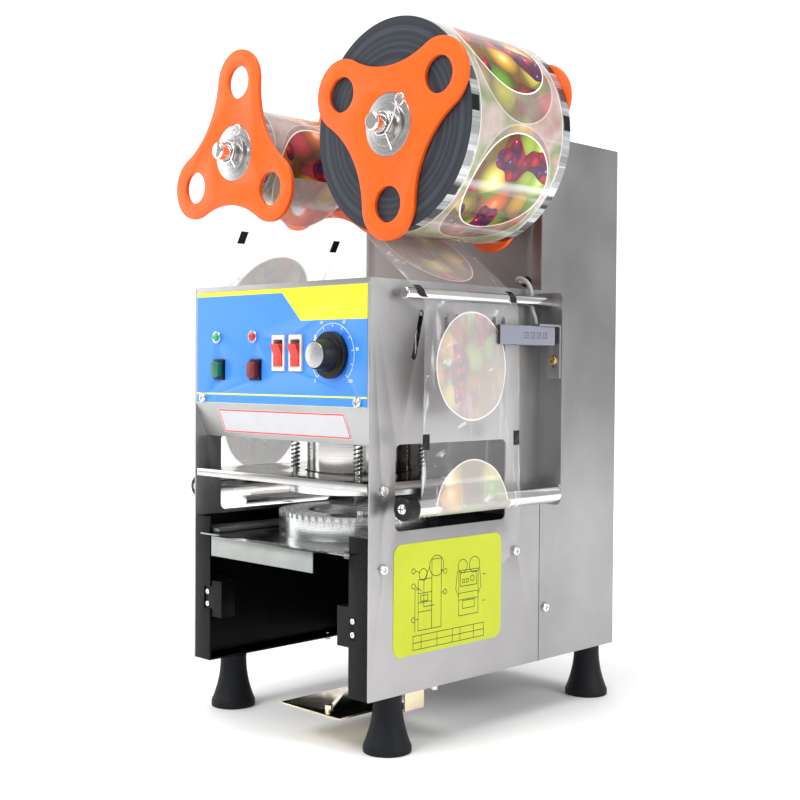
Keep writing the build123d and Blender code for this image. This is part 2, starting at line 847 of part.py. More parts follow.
def takeup_motor():
    """Gear motor on the column's left side; the take-up shaft ends in its socket."""
    back = takeup_motor_front + takeup_motor_length
    body = block(-inner_half, -reel_x + 30.0, takeup_motor_front, back, reel_z - 32.0, reel_z + 12.0)
    socket = rod_along_y(-reel_x, reel_z, reel_shaft_radius + running_clearance, takeup_motor_front,
                         takeup_motor_front + takeup_coupling_depth)
    return body - socket


# ---- Film sensor ----
def holder_screw_point():
    """(x, z) of the screw in the sensor holder's slot."""
    return half_width + 18.5, base_z + holder_low + 17.0


def film_sensor():
    """Fork-shaped eye: the film's edge runs through the slot between its jaws."""
    body = block(sensor_inner_x, sensor_outer_x, sensor_front_y, sensor_back_y,
                 base_z + sensor_low, base_z + sensor_high)
    body = fillet(body.edges().filter_by(Axis.Y), 1.2)
    middle = (sensor_low + sensor_high) / 2
    (x1, z1), (x2, z2) = tangent_run(path_circles()[1], path_circles()[2])
    x = x1 + (x2 - x1) * (z1 - base_z - middle) / (z1 - z2)
    slot = block(x - sensor_slot_width / 2, x + sensor_slot_width / 2, sensor_front_y,
                 sensor_slot_back_y, base_z + sensor_low, base_z + sensor_high)
    return body - slot


def sensor_holder():
    """Slotted angle that hangs the sensor from the film bracket."""
    x0 = half_width + 11.0
    x1 = x0 + holder_width
    top = base_z + sensor_high + holder_thickness
    upright = block(x0, x1, bracket_face - holder_thickness, bracket_face, base_z + holder_low, top)
    leg_x = sensor_outer_x - 8.0
    leg = block(leg_x, x1, sensor_back_y - 25.0, bracket_face, top - holder_thickness, top)
    x, z = holder_screw_point()
    plane = Plane(origin=(x, bracket_face, z + 8.0), x_dir=(1, 0, 0), z_dir=(0, -1, 0))
    slot = Rot(0, 0, 90) * SlotOverall(30.0, 2 * screw_hole_radius)
    return upright + leg - extrude(plane * slot, amount=holder_thickness)


def cable_route():
    """Points of the sensor cable, from the column's hole to the sensor's top."""
    return [
        (101.0, 225.0, 411.0),
        (101.0, 213.5, 411.0),
        (104.6, 206.6, 411.8),
        (110.8, 202.4, 412.8),
        (118.2, 201.8, 410.9),
        (123.6, 202.4, 405.1),
        (124.9, 203.4, 397.4),
        (123.8, 204.5, 388.8),
        (125.0, 205.6, 380.4),
        (127.8, 206.5, 373.6),
        (127.8, 206.5, 367.0),
    ]


def sensor_cable():
    """A short grey lead, straight runs joined by arcs as large as the runs allow."""
    points = [Vector(*p) for p in cable_route()]
    radii = []
    for before, corner, after in zip(points, points[1:], points[2:]):
        turn = math.radians((corner - before).get_angle(after - corner))
        shorter = min((corner - before).length, (after - corner).length)
        radii.append(0.45 * shorter / math.tan(turn / 2))
    print("cable radii", [round(r, 1) for r in radii])
    path = FilletPolyline(*points, radius=radii)
    profile = Plane(origin=path @ 0, z_dir=path % 0) * Circle(cable_radius)
    cable = sweep(profile, path=path)
    print("cable length", round(path.length, 1), "volume ratio",
          round(cable.volume / (path.length * math.pi * cable_radius ** 2), 4))
    return cable


def cable_grommet():
    """Rubber ring in the column's hole for the cable."""
    x, y, z = cable_route()[0]
    back = box_depth + bulkhead_thickness
    collar = rod_along_y(x, z, cable_hole_radius + 1.6, y - 1.2, box_depth)
    neck = rod_along_y(x, z, cable_hole_radius, box_depth, back + 2.0)
    return collar + neck - rod_along_y(x, z, cable_radius + running_clearance, y - 1.2, y)


# ---- Sealing head ----
def pin_points():
    return [(sx * pin_x, film_centre_y + sy * pin_y) for sy in (-1, 1) for sx in (-1, 1)]


def head_frame():
    """Fixed bridge across the box that the guide posts hang from."""
    z = carriage_top + head_frame_above_carriage
    return block(-inner_half, inner_half, head_frame_front, box_depth, z, z + head_frame_thickness)


def guide_posts():
    top = carriage_top + head_frame_above_carriage
    bottom = carriage_bottom - head_stroke - 6.0
    return [rod_along_z(side * post_x, film_centre_y, post_radius, bottom, top) for side in (-1, 1)]


def head_carriage():
    """Sliding plate with its slotted yoke, guided by the posts and driven by the crank."""
    front = film_centre_y - carriage_front
    back = film_centre_y + carriage_back
    plate = block(-carriage_half_width, carriage_half_width, front, back, carriage_bottom, carriage_top)
    for side in (-1, 1):
        plate -= rod_along_z(side * post_x, film_centre_y, post_radius + running_clearance,
                             carriage_bottom, carriage_top)
    for x, y in pin_points():
        plate -= rod_along_z(x, y, pin_radius + pin_clearance, carriage_bottom, carriage_top)
    yoke = block(-yoke_half_width, yoke_half_width, yoke_y, yoke_y + yoke_thickness,
                 carriage_top, carriage_top + yoke_height)
    half_slot = crank_radius + crank_pin_radius + slot_side_gap
    slot_z = crank_z + crank_radius
    slot = block(-half_slot, half_slot, yoke_y, yoke_y + yoke_thickness,
                 slot_z - slot_height / 2, slot_z + slot_height / 2)
    return plate + yoke - slot


def heater():
    """Heated sealing block under the carriage, with a sharp sealing edge."""
    block_shape = rod_along_z(0, film_centre_y, heater_radius, heater_bottom, carriage_bottom)
    dish = rod_along_z(0, film_centre_y, heater_radius - 5.0, heater_bottom, heater_bottom + 2.0)
    return block_shape - dish


def press_plate():
    """Shallow inverted pan that presses the film flat before the heater arrives."""
    w = press_plate_width / 2
    pan = block(-w, w, 0, press_plate_depth, plate_bottom, plate_top)
    pan -= block(-w + sheet, w - sheet, sheet, press_plate_depth - sheet, plate_bottom, plate_top - sheet)
    return pan - rod_along_z(0, film_centre_y, heater_radius + bore_clearance, plate_bottom, plate_top)


def die_ring():
    outer = rod_along_z(0, film_centre_y, die_ring_radius, die_bottom, plate_top - sheet)
    return outer - rod_along_z(0, film_centre_y, heater_radius + bore_clearance, die_bottom, plate_top)


def plate_pins():
    """Shouldered pins that hang the press plate under the carriage."""
    top = carriage_top + stop_gap
    pins = []
    for x, y in pin_points():
        shank = rod_along_z(x, y, pin_radius, plate_top, top)
        head = rod_along_z(x, y, pin_head_radius, top, top + pin_head_height)
        pins.append(shank + head)
    return pins


def press_springs():
    """Envelopes of the four coil springs between the carriage and the press plate."""
    springs = []
    for x, y in pin_points():
        outer = rod_along_z(x, y, spring_radius, plate_top, carriage_bottom)
        springs.append(outer - rod_along_z(x, y, spring_radius - spring_wire, plate_top, carriage_bottom))
    return springs


def crank():
    """Disc with its crank pin at the top and the stub that enters the gearbox."""
    disc = rod_along_y(0, crank_z, crank_disc_radius, crank_y, crank_y + crank_disc_thickness)
    pin = rod_along_y(0, crank_z + crank_radius, crank_pin_radius, yoke_y - yoke_gap, crank_y)
    stub_end = crank_y + crank_disc_thickness + crank_stub
    stub = rod_along_y(0, crank_z, crank_stub_radius, crank_y + crank_disc_thickness, stub_end)
    return disc + pin + stub


crank_stub = 10.0
crank_stub_radius = 5.0


def head_motor():
    """Gear motor that turns the crank, fixed to the bulkhead."""
    front = crank_y + crank_disc_thickness + yoke_gap
    back = front + gearbox_depth
    gearbox = block(-gearbox_half_width, gearbox_half_width, front, back,
                    crank_z - gearbox_half_height, crank_z + gearbox_half_height)
    can = rod_along_y(0, crank_z, head_motor_radius, back, box_depth)
    socket = rod_along_y(0, crank_z, crank_stub_radius + running_clearance, front, front + crank_stub)
    return gearbox + can - socket


# ---- Cup drawer ----
def drawer_tray():
    """Thin polished tray with rounded lip corners and a folded handle."""
    main = Pos(0, tray_back / 2) * Rectangle(2 * tray_half_width, tray_back)
    lip_depth = tray_lip_front - tray_lip_gap
    lip = Pos(0, -(tray_lip_front + tray_lip_gap) / 2) * RectangleRounded(
        2 * tray_lip_half_width, lip_depth, lip_depth * 0.45)
    tongue_depth = tray_handle_front - tray_lip_gap
    tongue = Pos(0, -(tray_handle_front + tray_lip_gap) / 2) * Rectangle(
        2 * tray_handle_half_width, tongue_depth)
    neck = Pos(0, -tray_lip_gap / 2) * Rectangle(2 * tray_half_width, tray_lip_gap)
    hole = Pos(0, film_centre_y) * Circle(cup_radius + 4.0)
    sheet_face = main + neck + lip + tongue - hole
    tray = extrude(Pos(0, 0, tray_under) * sheet_face, amount=sheet)
    fold = block(-tray_handle_half_width, tray_handle_half_width, -tray_handle_front,
                 -tray_handle_front + sheet, tray_top - tray_handle_drop, tray_top)
    return tray + fold


def toothed_disc(radius, depth_of_teeth, count):
    """A disc outline with square notches round it."""
    points = []
    for i in range(count):
        for part, r in ((0.0, radius), (0.5, radius), (0.5, radius - depth_of_teeth),
                        (1.0, radius - depth_of_teeth)):
            turn = 2 * math.pi * (i + part) / count
            points.append((r * math.cos(turn), r * math.sin(turn)))
    return make_face(Polyline(*points, close=True))


def ring_bolt_points():
    turns = (math.radians(ring_bolt_turn), math.radians(ring_bolt_turn + 180))
    d = ring_bolt_distance
    return [(d * math.cos(turn), film_centre_y + d * math.sin(turn)) for turn in turns]


def cup_ring():
    """Aluminium ring that holds the cup by its rim, with teeth round its upper edge."""
    top = tray_top + ring_height
    rim_low = top - ring_rim_height
    body = rod_along_z(0, film_centre_y, ring_radius, tray_top, rim_low)
    teeth = toothed_disc(ring_radius, ring_tooth_depth, ring_teeth)
    ring = body + extrude(Pos(0, film_centre_y, rim_low) * teeth, amount=ring_rim_height)
    for x, y in ring_bolt_points():
        ring -= rod_along_z(x, y, screw_hole_radius, top - screw_shank_length, top)
    return ring - rod_along_z(0, film_centre_y, cup_radius, tray_top, top)


def ring_bolts():
    """Socket-head bolts that hold the cup ring down."""
    top = tray_top + ring_height
    head_top = top + ring_bolt_height
    bolts = []
    for x, y in ring_bolt_points():
        head = rod_along_z(x, y, ring_bolt_radius, top, head_top)
        socket = extrude(Pos(x, y, head_top) * RegularPolygon(screw_shank_radius, 6), amount=-2.0)
        bolts.append(head - socket + rod_along_z(x, y, screw_shank_radius, top - screw_shank_length, top))
    return bolts


def drawer_rails():
    """Grooved runners on the bay frames that the tray's edges slide in."""
    low = tray_under - slide_clearance - rail_below
    high = tray_top + slide_clearance + rail_above
    rail = block(rail_inner_x, frame_inner, rail_front, rail_back, low, high)
    rail -= block(rail_inner_x, tray_half_width + slide_clearance, rail_front, rail_back,
                  tray_under - slide_clearance, tray_top + slide_clearance)
    return [rail, mirrored(rail)]


pinion_radius = gear_module * pinion_teeth / 2
pinion_z = tray_under - rack_height + gear_module - pinion_radius
tooth_pitch = math.pi * gear_module
pressure = math.radians(20)


def rack():
    """Straight toothed bar under the tray, its teeth pointing down."""
    tips = tray_under - rack_height
    pitch_line = tips + gear_module
    root = pitch_line + 1.25 * gear_module
    half_tooth = tooth_pitch / 4 - gear_backlash / 4
    tip_half = half_tooth - gear_module * math.tan(pressure)
    root_half = half_tooth + 1.25 * gear_module * math.tan(pressure)
    first = pinion_y - math.floor((pinion_y - rack_front) / tooth_pitch) * tooth_pitch
    count = int((tray_back - tooth_pitch - first) / tooth_pitch) + 1
    outline = [(rack_front, tray_under), (rack_front, root)]
    for i in range(count):
        y = first + i * tooth_pitch
        outline += [(y - root_half, root), (y - tip_half, tips), (y + tip_half, tips), (y + root_half, root)]
    outline += [(tray_back, root), (tray_back, tray_under)]
    return prism_x(outline, rack_x - rack_width / 2, rack_x + rack_width / 2)


def gear_outline():
    """Involute teeth as (y, z) points, with a gap facing straight up."""
    base = pinion_radius * math.cos(pressure)
    tip = pinion_radius + 0.9 * gear_module
    root = pinion_radius - 1.2 * gear_module
    involute_at_pitch = math.tan(pressure) - pressure
    half_angle = (tooth_pitch / 4 - gear_backlash / 4) / pinion_radius
    radii = [max(base, root) + (tip - max(base, root)) * k / 4 for k in range(5)]
    points = []
    for i in range(pinion_teeth):
        middle = math.pi / 2 + 2 * math.pi * (i + 0.5) / pinion_teeth
        flank = []
        for r in radii:
            a = math.acos(min(1.0, base / r))
            flank.append((r, half_angle + involute_at_pitch - (math.tan(a) - a)))
        side_points = [(root, half_angle + involute_at_pitch)] + flank
        points += [(r, middle - w) for r, w in side_points]
        points += [(r, middle + w) for r, w in reversed(side_points)]
    return [(pinion_y + r * math.cos(t), pinion_z + r * math.sin(t)) for r, t in points]


def pinion():
    """Small gear under the rack, with its shaft towards the motor."""
    gear = prism_x(gear_outline(), rack_x - gear_width / 2, rack_x + gear_width / 2)
    shaft = rod_along_x(pinion_y, pinion_z, pinion_shaft_radius, rack_x + gear_width / 2,
                        drawer_motor_start_x + 6.0)
    return gear + shaft


def drawer_motor():
    """Small gear motor on the right bay frame, with a socket for the pinion's shaft."""
    body = rod_along_x(pinion_y, pinion_z, drawer_motor_radius, drawer_motor_start_x, frame_inner)
    socket = rod_along_x(pinion_y, pinion_z, pinion_shaft_radius + running_clearance,
                         drawer_motor_start_x, drawer_motor_start_x + 7.0)
    return body - socket


# ---- Controls ----
def lamps():
    """Two indicator lamps: a lens and a turned bezel each."""
    shapes = []
    z = panel_bottom + lamp_z
    for x in lamp_x:
        lens = rod_along_y(x, z, lamp_radius, -overlay_thickness - lamp_height, lamp_body)
        lens = fillet(lens.edges().group_by(Axis.Y)[0], lamp_radius * 0.6)
        bezel = rod_along_y(x, z, lamp_bezel_radius, -overlay_thickness - lamp_bezel_height,
                            -overlay_thickness)
        shapes += [lens, bezel - rod_along_y(x, z, lamp_radius, -20.0, 0)]
    return shapes


def switch_frame(x, z, outside, key, key_depth, corner):
    """A frame on the panel with a closed box behind it for a moving key."""
    w, h = outside[0] / 2, outside[1] / 2
    kw, kh = key[0] / 2 + key_clearance, key[1] / 2 + key_clearance
    front = -overlay_thickness - frame_height_out
    flange = block(x - w, x + w, front, -overlay_thickness, z - h, z + h)
    flange = fillet(flange.edges().filter_by(Axis.Y), 1.0)
    bw, bh = key[0] / 2 + sheet, key[1] / 2 + sheet
    body = block(x - bw, x + bw, -overlay_thickness, switch_depth, z - bh, z + bh)
    opening = block(x - kw, x + kw, front, key_depth, z - kh, z + kh)
    opening = fillet(opening.edges().filter_by(Axis.Y), corner + key_clearance)
    return flange + body - opening


def switch_frames():
    frames = []
    for x in button_x:
        frames.append(switch_frame(x, panel_bottom + button_z, button_frame, button_size, 14.0,
                                   button_corner))
    opening = (rocker_size[0], rocker_opening_height() - 2 * key_clearance)
    for x in rocker_x:
        frames.append(switch_frame(x, panel_bottom + rocker_z, rocker_frame, opening, 14.0, 0))
    return frames


def push_button(x):
    w, h = button_size[0] / 2, button_size[1] / 2
    z = panel_bottom + button_z
    front = -overlay_thickness - button_height
    key = block(x - w, x + w, front, 14.0 - button_travel - slide_clearance, z - h, z + h)
    return fillet(key.edges().filter_by(Axis.Y), button_corner)


rocker_pivot_y = 4.0


def rocker(x):
    """A rocking key, shallow V in front, stored tilted to one of its two stops."""
    h = rocker_size[1] / 2
    front_y = rocker_pivot_y - rocker_depth_out - 2.0
    outline = [(front_y, h), (front_y + 2.2, 0), (front_y, -h), (rocker_pivot_y, -h * 0.9),
               (rocker_pivot_y + 3.0, 0), (rocker_pivot_y, h * 0.9)]
    key = prism_x(outline, x - rocker_size[0] / 2, x + rocker_size[0] / 2)
    z = panel_bottom + rocker_z
    turn = Pos(0, rocker_pivot_y, z) * Rot(rocker_tilt, 0, 0) * Pos(0, -rocker_pivot_y, 0)
    return turn * key


def knob():
    """Turned knob with a wide skirt, a bright cap and its spindle."""
    z = panel_bottom + knob_z
    back = -overlay_thickness - knob_panel_gap
    skirt = rod_along_y(knob_x, z, knob_skirt_radius, back - knob_skirt_height, back)
    grip_length = knob_height - knob_skirt_height
    grip_y = back - knob_skirt_height - grip_length / 2
    grip = Pos(knob_x, grip_y, z) * Rot(90, 0, 0) * Cone(knob_grip_radius, knob_top_radius, grip_length)
    spindle = rod_along_y(knob_x, z, knob_spindle_radius, back, 12.0)
    body = skirt + grip + spindle
    face = back - knob_height
    cap = rod_along_y(knob_x, z, knob_cap_radius, face - knob_cap_height, face)
    return [body, cap]


def thermostat():
    """Temperature controller behind the panel, with a socket for the knob's spindle."""
    z = panel_bottom + knob_z
    body = block(knob_x - 20.0, knob_x + 20.0, sheet, 36.0, z - 22.0, z + 22.0)
    return body - rod_along_y(knob_x, z, knob_spindle_radius + running_clearance, sheet, 13.0)


def control_board():
    """Circuit board on the column's rear cover side, with its relay and transformer."""
    back = depth - sheet
    board = block(-80.0, 40.0, back - 12.0, back - 10.4, base_z + 90.0, base_z + 180.0)
    standoffs = [rod_along_y(x, base_z + z, 3.0, back - 10.4, back)
                 for x in (-72.0, 32.0) for z in (98.0, 172.0)]
    transformer = block(-70.0, -25.0, back - 52.0, back - 12.0, base_z + 100.0, base_z + 140.0)
    relay = block(0, 30.0, back - 30.0, back - 12.0, base_z + 105.0, base_z + 121.0)
    return [board, transformer, relay] + standoffs


# ---- Write one file per node ----
os.makedirs("parts", exist_ok=True)


def save(node, shapes):
    """Write a node with the machine's origin under its middle."""
    group = shapes if isinstance(shapes, list) else [shapes]
    solids = [solid for shape in group for solid in shape.solids()]
    moved = [solid.moved(Location((0, -origin_y, 0))) for solid in solids]
    whole = moved[0] if len(moved) == 1 else Compound(children=moved)
    export_step(whole, f"parts/{node}.step")
    print(node, len(solids))


right_side_panel = side_panel()
save("side_panel_right", right_side_panel)
save("side_panel_left", mirrored(right_side_panel))
save("bay_frames", bay_frames())
save("top_cover", top_cover())
save("control_panel", control_panel())
save("labels", labels())
save("bulkhead", bulkhead())
save("column_wrap", column_wrap())
save("rear_cover", rear_cover())
save("base_plate", base_plate())
save("feet", [Pos(x, y, 0) * foot() for x, y in foot_points()])
save("screws", screws())
save("loading_plate", loading_plate())
save("film_brackets", film_brackets())
save("film_rods", film_rods())
save("roller_right", roller(1))
save("roller_left", roller(-1))
save("roller_spindles", roller_spindles())
save("sensor_holder", sensor_holder())
save("film_sensor", film_sensor())
save("sensor_cable", sensor_cable())
save("cable_grommet", cable_grommet())
bearing_end = box_depth + bulkhead_thickness + bearing_length
coupling_end = takeup_motor_front + takeup_coupling_depth - 2 * slide_clearance
save("supply_shaft", reel_shaft(reel_x, bearing_end))
save("supply_spiders", spiders(reel_x, supply_spider_turn))
save("supply_roll", roll(reel_x, supply_radius))
save("supply_lock", reel_lock(reel_x))
save("takeup_shaft", reel_shaft(-reel_x, coupling_end))
save("takeup_spiders", spiders(-reel_x, takeup_spider_turn))
save("takeup_roll", roll(-reel_x, takeup_radius))
save("takeup_lock", reel_lock(-reel_x))
save("reel_bearings", reel_bearings())
save("takeup_motor", takeup_motor())
save("film_web", film_web())
save("head_frame", head_frame())
save("guide_posts", guide_posts())
save("head_carriage", head_carriage())
save("heater", heater())
save("press_plate", press_plate())
save("die_ring", die_ring())
save("plate_pins", plate_pins())
save("press_springs", press_springs())
save("crank", crank())
save("head_motor", head_motor())
save("drawer_tray", drawer_tray())
save("cup_ring", [cup_ring(), *ring_bolts()])
save("drawer_rack", rack())
save("drawer_rails", drawer_rails())
save("drawer_pinion", pinion())
save("drawer_motor", drawer_motor())
save("lamps", lamps())
save("switch_frames", switch_frames())
save("start_button", push_button(button_x[0]))
save("stop_button", push_button(button_x[1]))
save("rocker_left", rocker(rocker_x[0]))
save("rocker_right", rocker(rocker_x[1]))
save("knob", knob())
save("thermostat", thermostat())
save("control_board", control_board())
save("power_inlet", power_inlet())
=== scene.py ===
import json
import math

import bmesh
import bpy
from mathutils import Matrix, Vector


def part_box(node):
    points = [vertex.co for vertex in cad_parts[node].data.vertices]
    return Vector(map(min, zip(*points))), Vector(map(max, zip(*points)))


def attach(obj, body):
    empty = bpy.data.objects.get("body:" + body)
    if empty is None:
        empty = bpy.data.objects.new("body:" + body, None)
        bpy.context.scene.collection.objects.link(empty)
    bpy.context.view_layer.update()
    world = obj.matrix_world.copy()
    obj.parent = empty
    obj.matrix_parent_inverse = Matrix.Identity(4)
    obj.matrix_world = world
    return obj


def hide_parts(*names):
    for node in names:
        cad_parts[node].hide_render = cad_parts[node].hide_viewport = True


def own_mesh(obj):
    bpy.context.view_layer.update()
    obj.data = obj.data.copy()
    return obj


# Looks of the desktop cup sealing machine. Everything is in metres, in the frame of the
# CAD model: X to the right, Y to the back, Z up from the surface that the feet stand on.

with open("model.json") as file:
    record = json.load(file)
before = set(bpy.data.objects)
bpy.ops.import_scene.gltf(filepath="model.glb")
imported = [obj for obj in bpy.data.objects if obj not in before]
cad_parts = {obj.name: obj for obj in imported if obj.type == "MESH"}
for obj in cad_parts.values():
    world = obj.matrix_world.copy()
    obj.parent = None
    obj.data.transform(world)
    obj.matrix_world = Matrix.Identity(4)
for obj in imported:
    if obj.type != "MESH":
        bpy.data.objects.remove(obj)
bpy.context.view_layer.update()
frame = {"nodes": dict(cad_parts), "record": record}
nodes = frame["nodes"]
MM = 0.001


# ---------------------------------------------------------------- places from the frame
def middle(node):
    low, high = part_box(node)
    return (Vector(low) + Vector(high)) / 2


def span(node):
    low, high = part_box(node)
    return Vector(high) - Vector(low)


SUPPLY = middle("supply_roll")
TAKEUP = middle("takeup_roll")
SUPPLY_RADIUS = span("supply_roll").z / 2
TAKEUP_RADIUS = span("takeup_roll").z / 2
FILM_Y = SUPPLY.y
FILM_WIDTH = 129 * MM
CORE_BORE = 38 * MM
ROLLER_R = middle("roller_right")
ROLLER_L = middle("roller_left")
ROLLER_RADIUS = span("roller_right").z / 2
ROD_RADIUS = 5 * MM
rods_low, rods_high = (Vector(c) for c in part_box("film_rods"))
ROD_Z = rods_high.z - ROD_RADIUS
ROD_R = Vector((rods_high.x - ROD_RADIUS, FILM_Y, ROD_Z))
ROD_L = Vector((rods_low.x + ROD_RADIUS, FILM_Y, ROD_Z))
PANEL_LOW, PANEL_HIGH = (Vector(c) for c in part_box("control_panel"))
FRONT_Y = PANEL_LOW.y
SIDE_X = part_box("column_wrap")[1][0]
PANEL_TOP = PANEL_HIGH.z
PROUD = 0.05 * MM           # printed lines stand this far off their surface
LEFT_LID_Z = 270 * MM       # height of the lid that shows on the left drop


# ---------------------------------------------------------------- node graphs
class Graph:
    """A material being wired: numbers and sockets can be mixed freely in calc()."""

    def __init__(self, name):
        self.material = bpy.data.materials.new(name)
        self.material.use_nodes = True
        self.tree = self.material.node_tree
        self.shader = self.tree.nodes["Principled BSDF"]

    def add(self, kind, **settings):
        node = self.tree.nodes.new("ShaderNode" + kind)
        for key, value in settings.items():
            setattr(node, key, value)
        return node

    def put(self, socket, value):
        if isinstance(value, bpy.types.NodeSocket):
            self.tree.links.new(value, socket)
        else:
            socket.default_value = value

    def calc(self, operation, *values):
        node = self.add("Math", operation=operation)
        for socket, value in zip(node.inputs, values):
            self.put(socket, value)
        return node.outputs[0]

    def between(self, value, low, high):
        """1 where low < value < high."""
        above = self.calc("GREATER_THAN", value, low)
        below = self.calc("LESS_THAN", value, high)
        return self.calc("MULTIPLY", above, below)

    def mix(self, share, first, second):
        node = self.add("Mix", data_type="RGBA")
        self.put(node.inputs[0], share)
        self.put(node.inputs[6], first)
        self.put(node.inputs[7], second)
        return node.outputs[2]

    def ramp(self, value, stops, mode="LINEAR"):
        node = self.add("ValToRGB")
        node.color_ramp.interpolation = mode
        elements = node.color_ramp.elements
        while len(elements) < len(stops):
            elements.new(0.5)
        for element, (place, colour) in zip(elements, stops):
            element.position = place
            element.color = (*colour, 1) if len(colour) == 3 else colour
        self.put(node.inputs[0], value)
        return node.outputs[0]

    def spread(self, value, low, high, new_low, new_high):
        node = self.add("MapRange")
        for socket, v in zip(node.inputs, (value, low, high, new_low, new_high)):
            self.put(socket, v)
        return node.outputs[0]

    def place(self, scale=(1, 1, 1)):
        """Position in the model's own frame, scaled."""
        coord = self.add("TexCoord")
        mapping = self.add("Mapping")
        mapping.inputs["Scale"].default_value = scale
        self.put(mapping.inputs["Vector"], coord.outputs["Object"])
        return mapping.outputs[0]

    def noise(self, vector, scale, detail=3.0, rough=0.55):
        node = self.add("TexNoise")
        self.put(node.inputs["Vector"], vector)
        node.inputs["Scale"].default_value = scale
        node.inputs["Detail"].default_value = detail
        node.inputs["Roughness"].default_value = rough
        return node.outputs["Fac"]

    def xyz(self, vector):
        node = self.add("SeparateXYZ")
        self.put(node.inputs[0], vector)
        return node.outputs

    def vector(self, x, y, z):
        node = self.add("CombineXYZ")
        for socket, value in zip(node.inputs, (x, y, z)):
            self.put(socket, value)
        return node.outputs[0]

    def bump(self, height, strength, distance):
        node = self.add("Bump")
        node.inputs["Strength"].default_value = strength
        node.inputs["Distance"].default_value = distance
        self.put(node.inputs["Height"], height)
        self.put(self.shader.inputs["Normal"], node.outputs[0])

    def finish(self, colour=None, rough=None, metallic=None, **others):
        names = {"colour": "Base Color", "rough": "Roughness", "metallic": "Metallic"}
        for key, value in (("colour", colour), ("rough", rough), ("metallic", metallic)):
            if value is not None:
                if isinstance(value, tuple) and len(value) == 3:
                    value = (*value, 1)
                self.put(self.shader.inputs[names[key]], value)
        for key, value in others.items():
            self.put(self.shader.inputs[key.replace("_", " ")], value)
        return self.material


# ---------------------------------------------------------------- materials
def brushed(name, colour, rough, grain=(1.0, 1.0, 90.0), tint=None, black_below=None):
    """Satin sheet steel: fine grain along one direction, faint cloudy stains."""
    g = Graph(name)
    lines = g.noise(g.place(grain), 60.0, 4.0, 0.7)
    clouds = g.noise(g.place(), 9.0, 3.0)
    darker = tuple(c * 0.86 for c in colour)
    lighter = tuple(min(1.0, c * 1.08) for c in (tint or colour))
    base = g.mix(g.spread(clouds, 0.35, 0.65, 0.0, 1.0), (*darker, 1), (*lighter, 1))
    streak = g.mix(g.spread(lines, 0.3, 0.7, 0.0, 0.25), base, (*darker, 1))
    g.bump(lines, 0.10, 0.0002)
    roughness = g.spread(g.calc("ADD", lines, clouds), 0.6, 1.4, rough - 0.05, rough + 0.07)
    if black_below is None:
        return g.finish(streak, roughness, 1.0)
    bare = g.calc("GREATER_THAN", g.xyz(g.place())[2], black_below)
    return g.finish(g.mix(bare, (0.007, 0.007, 0.008, 1), streak), roughness, bare)


def polished(name, colour, rough=0.07):
    """Mirror-bright steel with faint wipe marks."""
    g = Graph(name)
    marks = g.noise(g.place(), 35.0, 5.0, 0.65)
    fine = g.noise(g.place((1, 6, 1)), 220.0, 2.0)
    base = g.mix(g.spread(marks, 0.35, 0.7, 0.0, 1.0), (*colour, 1), (*(c * 0.88 for c in colour), 1))
    g.bump(fine, 0.03, 0.0001)
    return g.finish(base, g.spread(marks, 0.3, 0.7, rough * 0.7, rough * 1.9), 1.0)


def turned(name, colour, rough, axis_y, centre):
    """Lathe-turned metal: fine rings round an axis along Y, or along Z."""
    g = Graph(name)
    x, y, z = g.xyz(g.place())
    a = g.calc("SUBTRACT", x, centre.x)
    b = g.calc("SUBTRACT", z, centre.z) if axis_y else g.calc("SUBTRACT", y, centre.y)
    radius = g.calc("SQRT", g.calc("ADD", g.calc("MULTIPLY", a, a), g.calc("MULTIPLY", b, b)))
    along = y if axis_y else z
    place = g.vector(g.calc("MULTIPLY", radius, 40.0), g.calc("MULTIPLY", along, 40.0), 0.0)
    rings = g.noise(place, 60.0, 2.0)
    base = g.mix(g.spread(rings, 0.35, 0.65, 0.0, 1.0), (*colour, 1), (*(c * 0.8 for c in colour), 1))
    g.bump(rings, 0.12, 0.0002)
    return g.finish(base, g.spread(rings, 0.3, 0.7, rough * 0.75, rough * 1.3), 1.0)


def plastic(name, colour, rough=0.4, bump=0.05, scale=900.0, variation=0.08, gloss=0.5):
    """Moulded plastic or paint: faint mottling and a fine surface texture."""
    g = Graph(name)
    clouds = g.noise(g.place(), 25.0, 3.0)
    skin = g.noise(g.place(), scale, 2.0)
    base = g.mix(g.spread(clouds, 0.35, 0.65, 0.0, 1.0), (*colour, 1),
                 (*(c * (1 - variation) for c in colour), 1))
    g.bump(skin, bump, 0.0003)
    return g.finish(base, g.spread(clouds, 0.3, 0.7, rough * 0.85, rough * 1.15), Specular_IOR_Level=gloss)


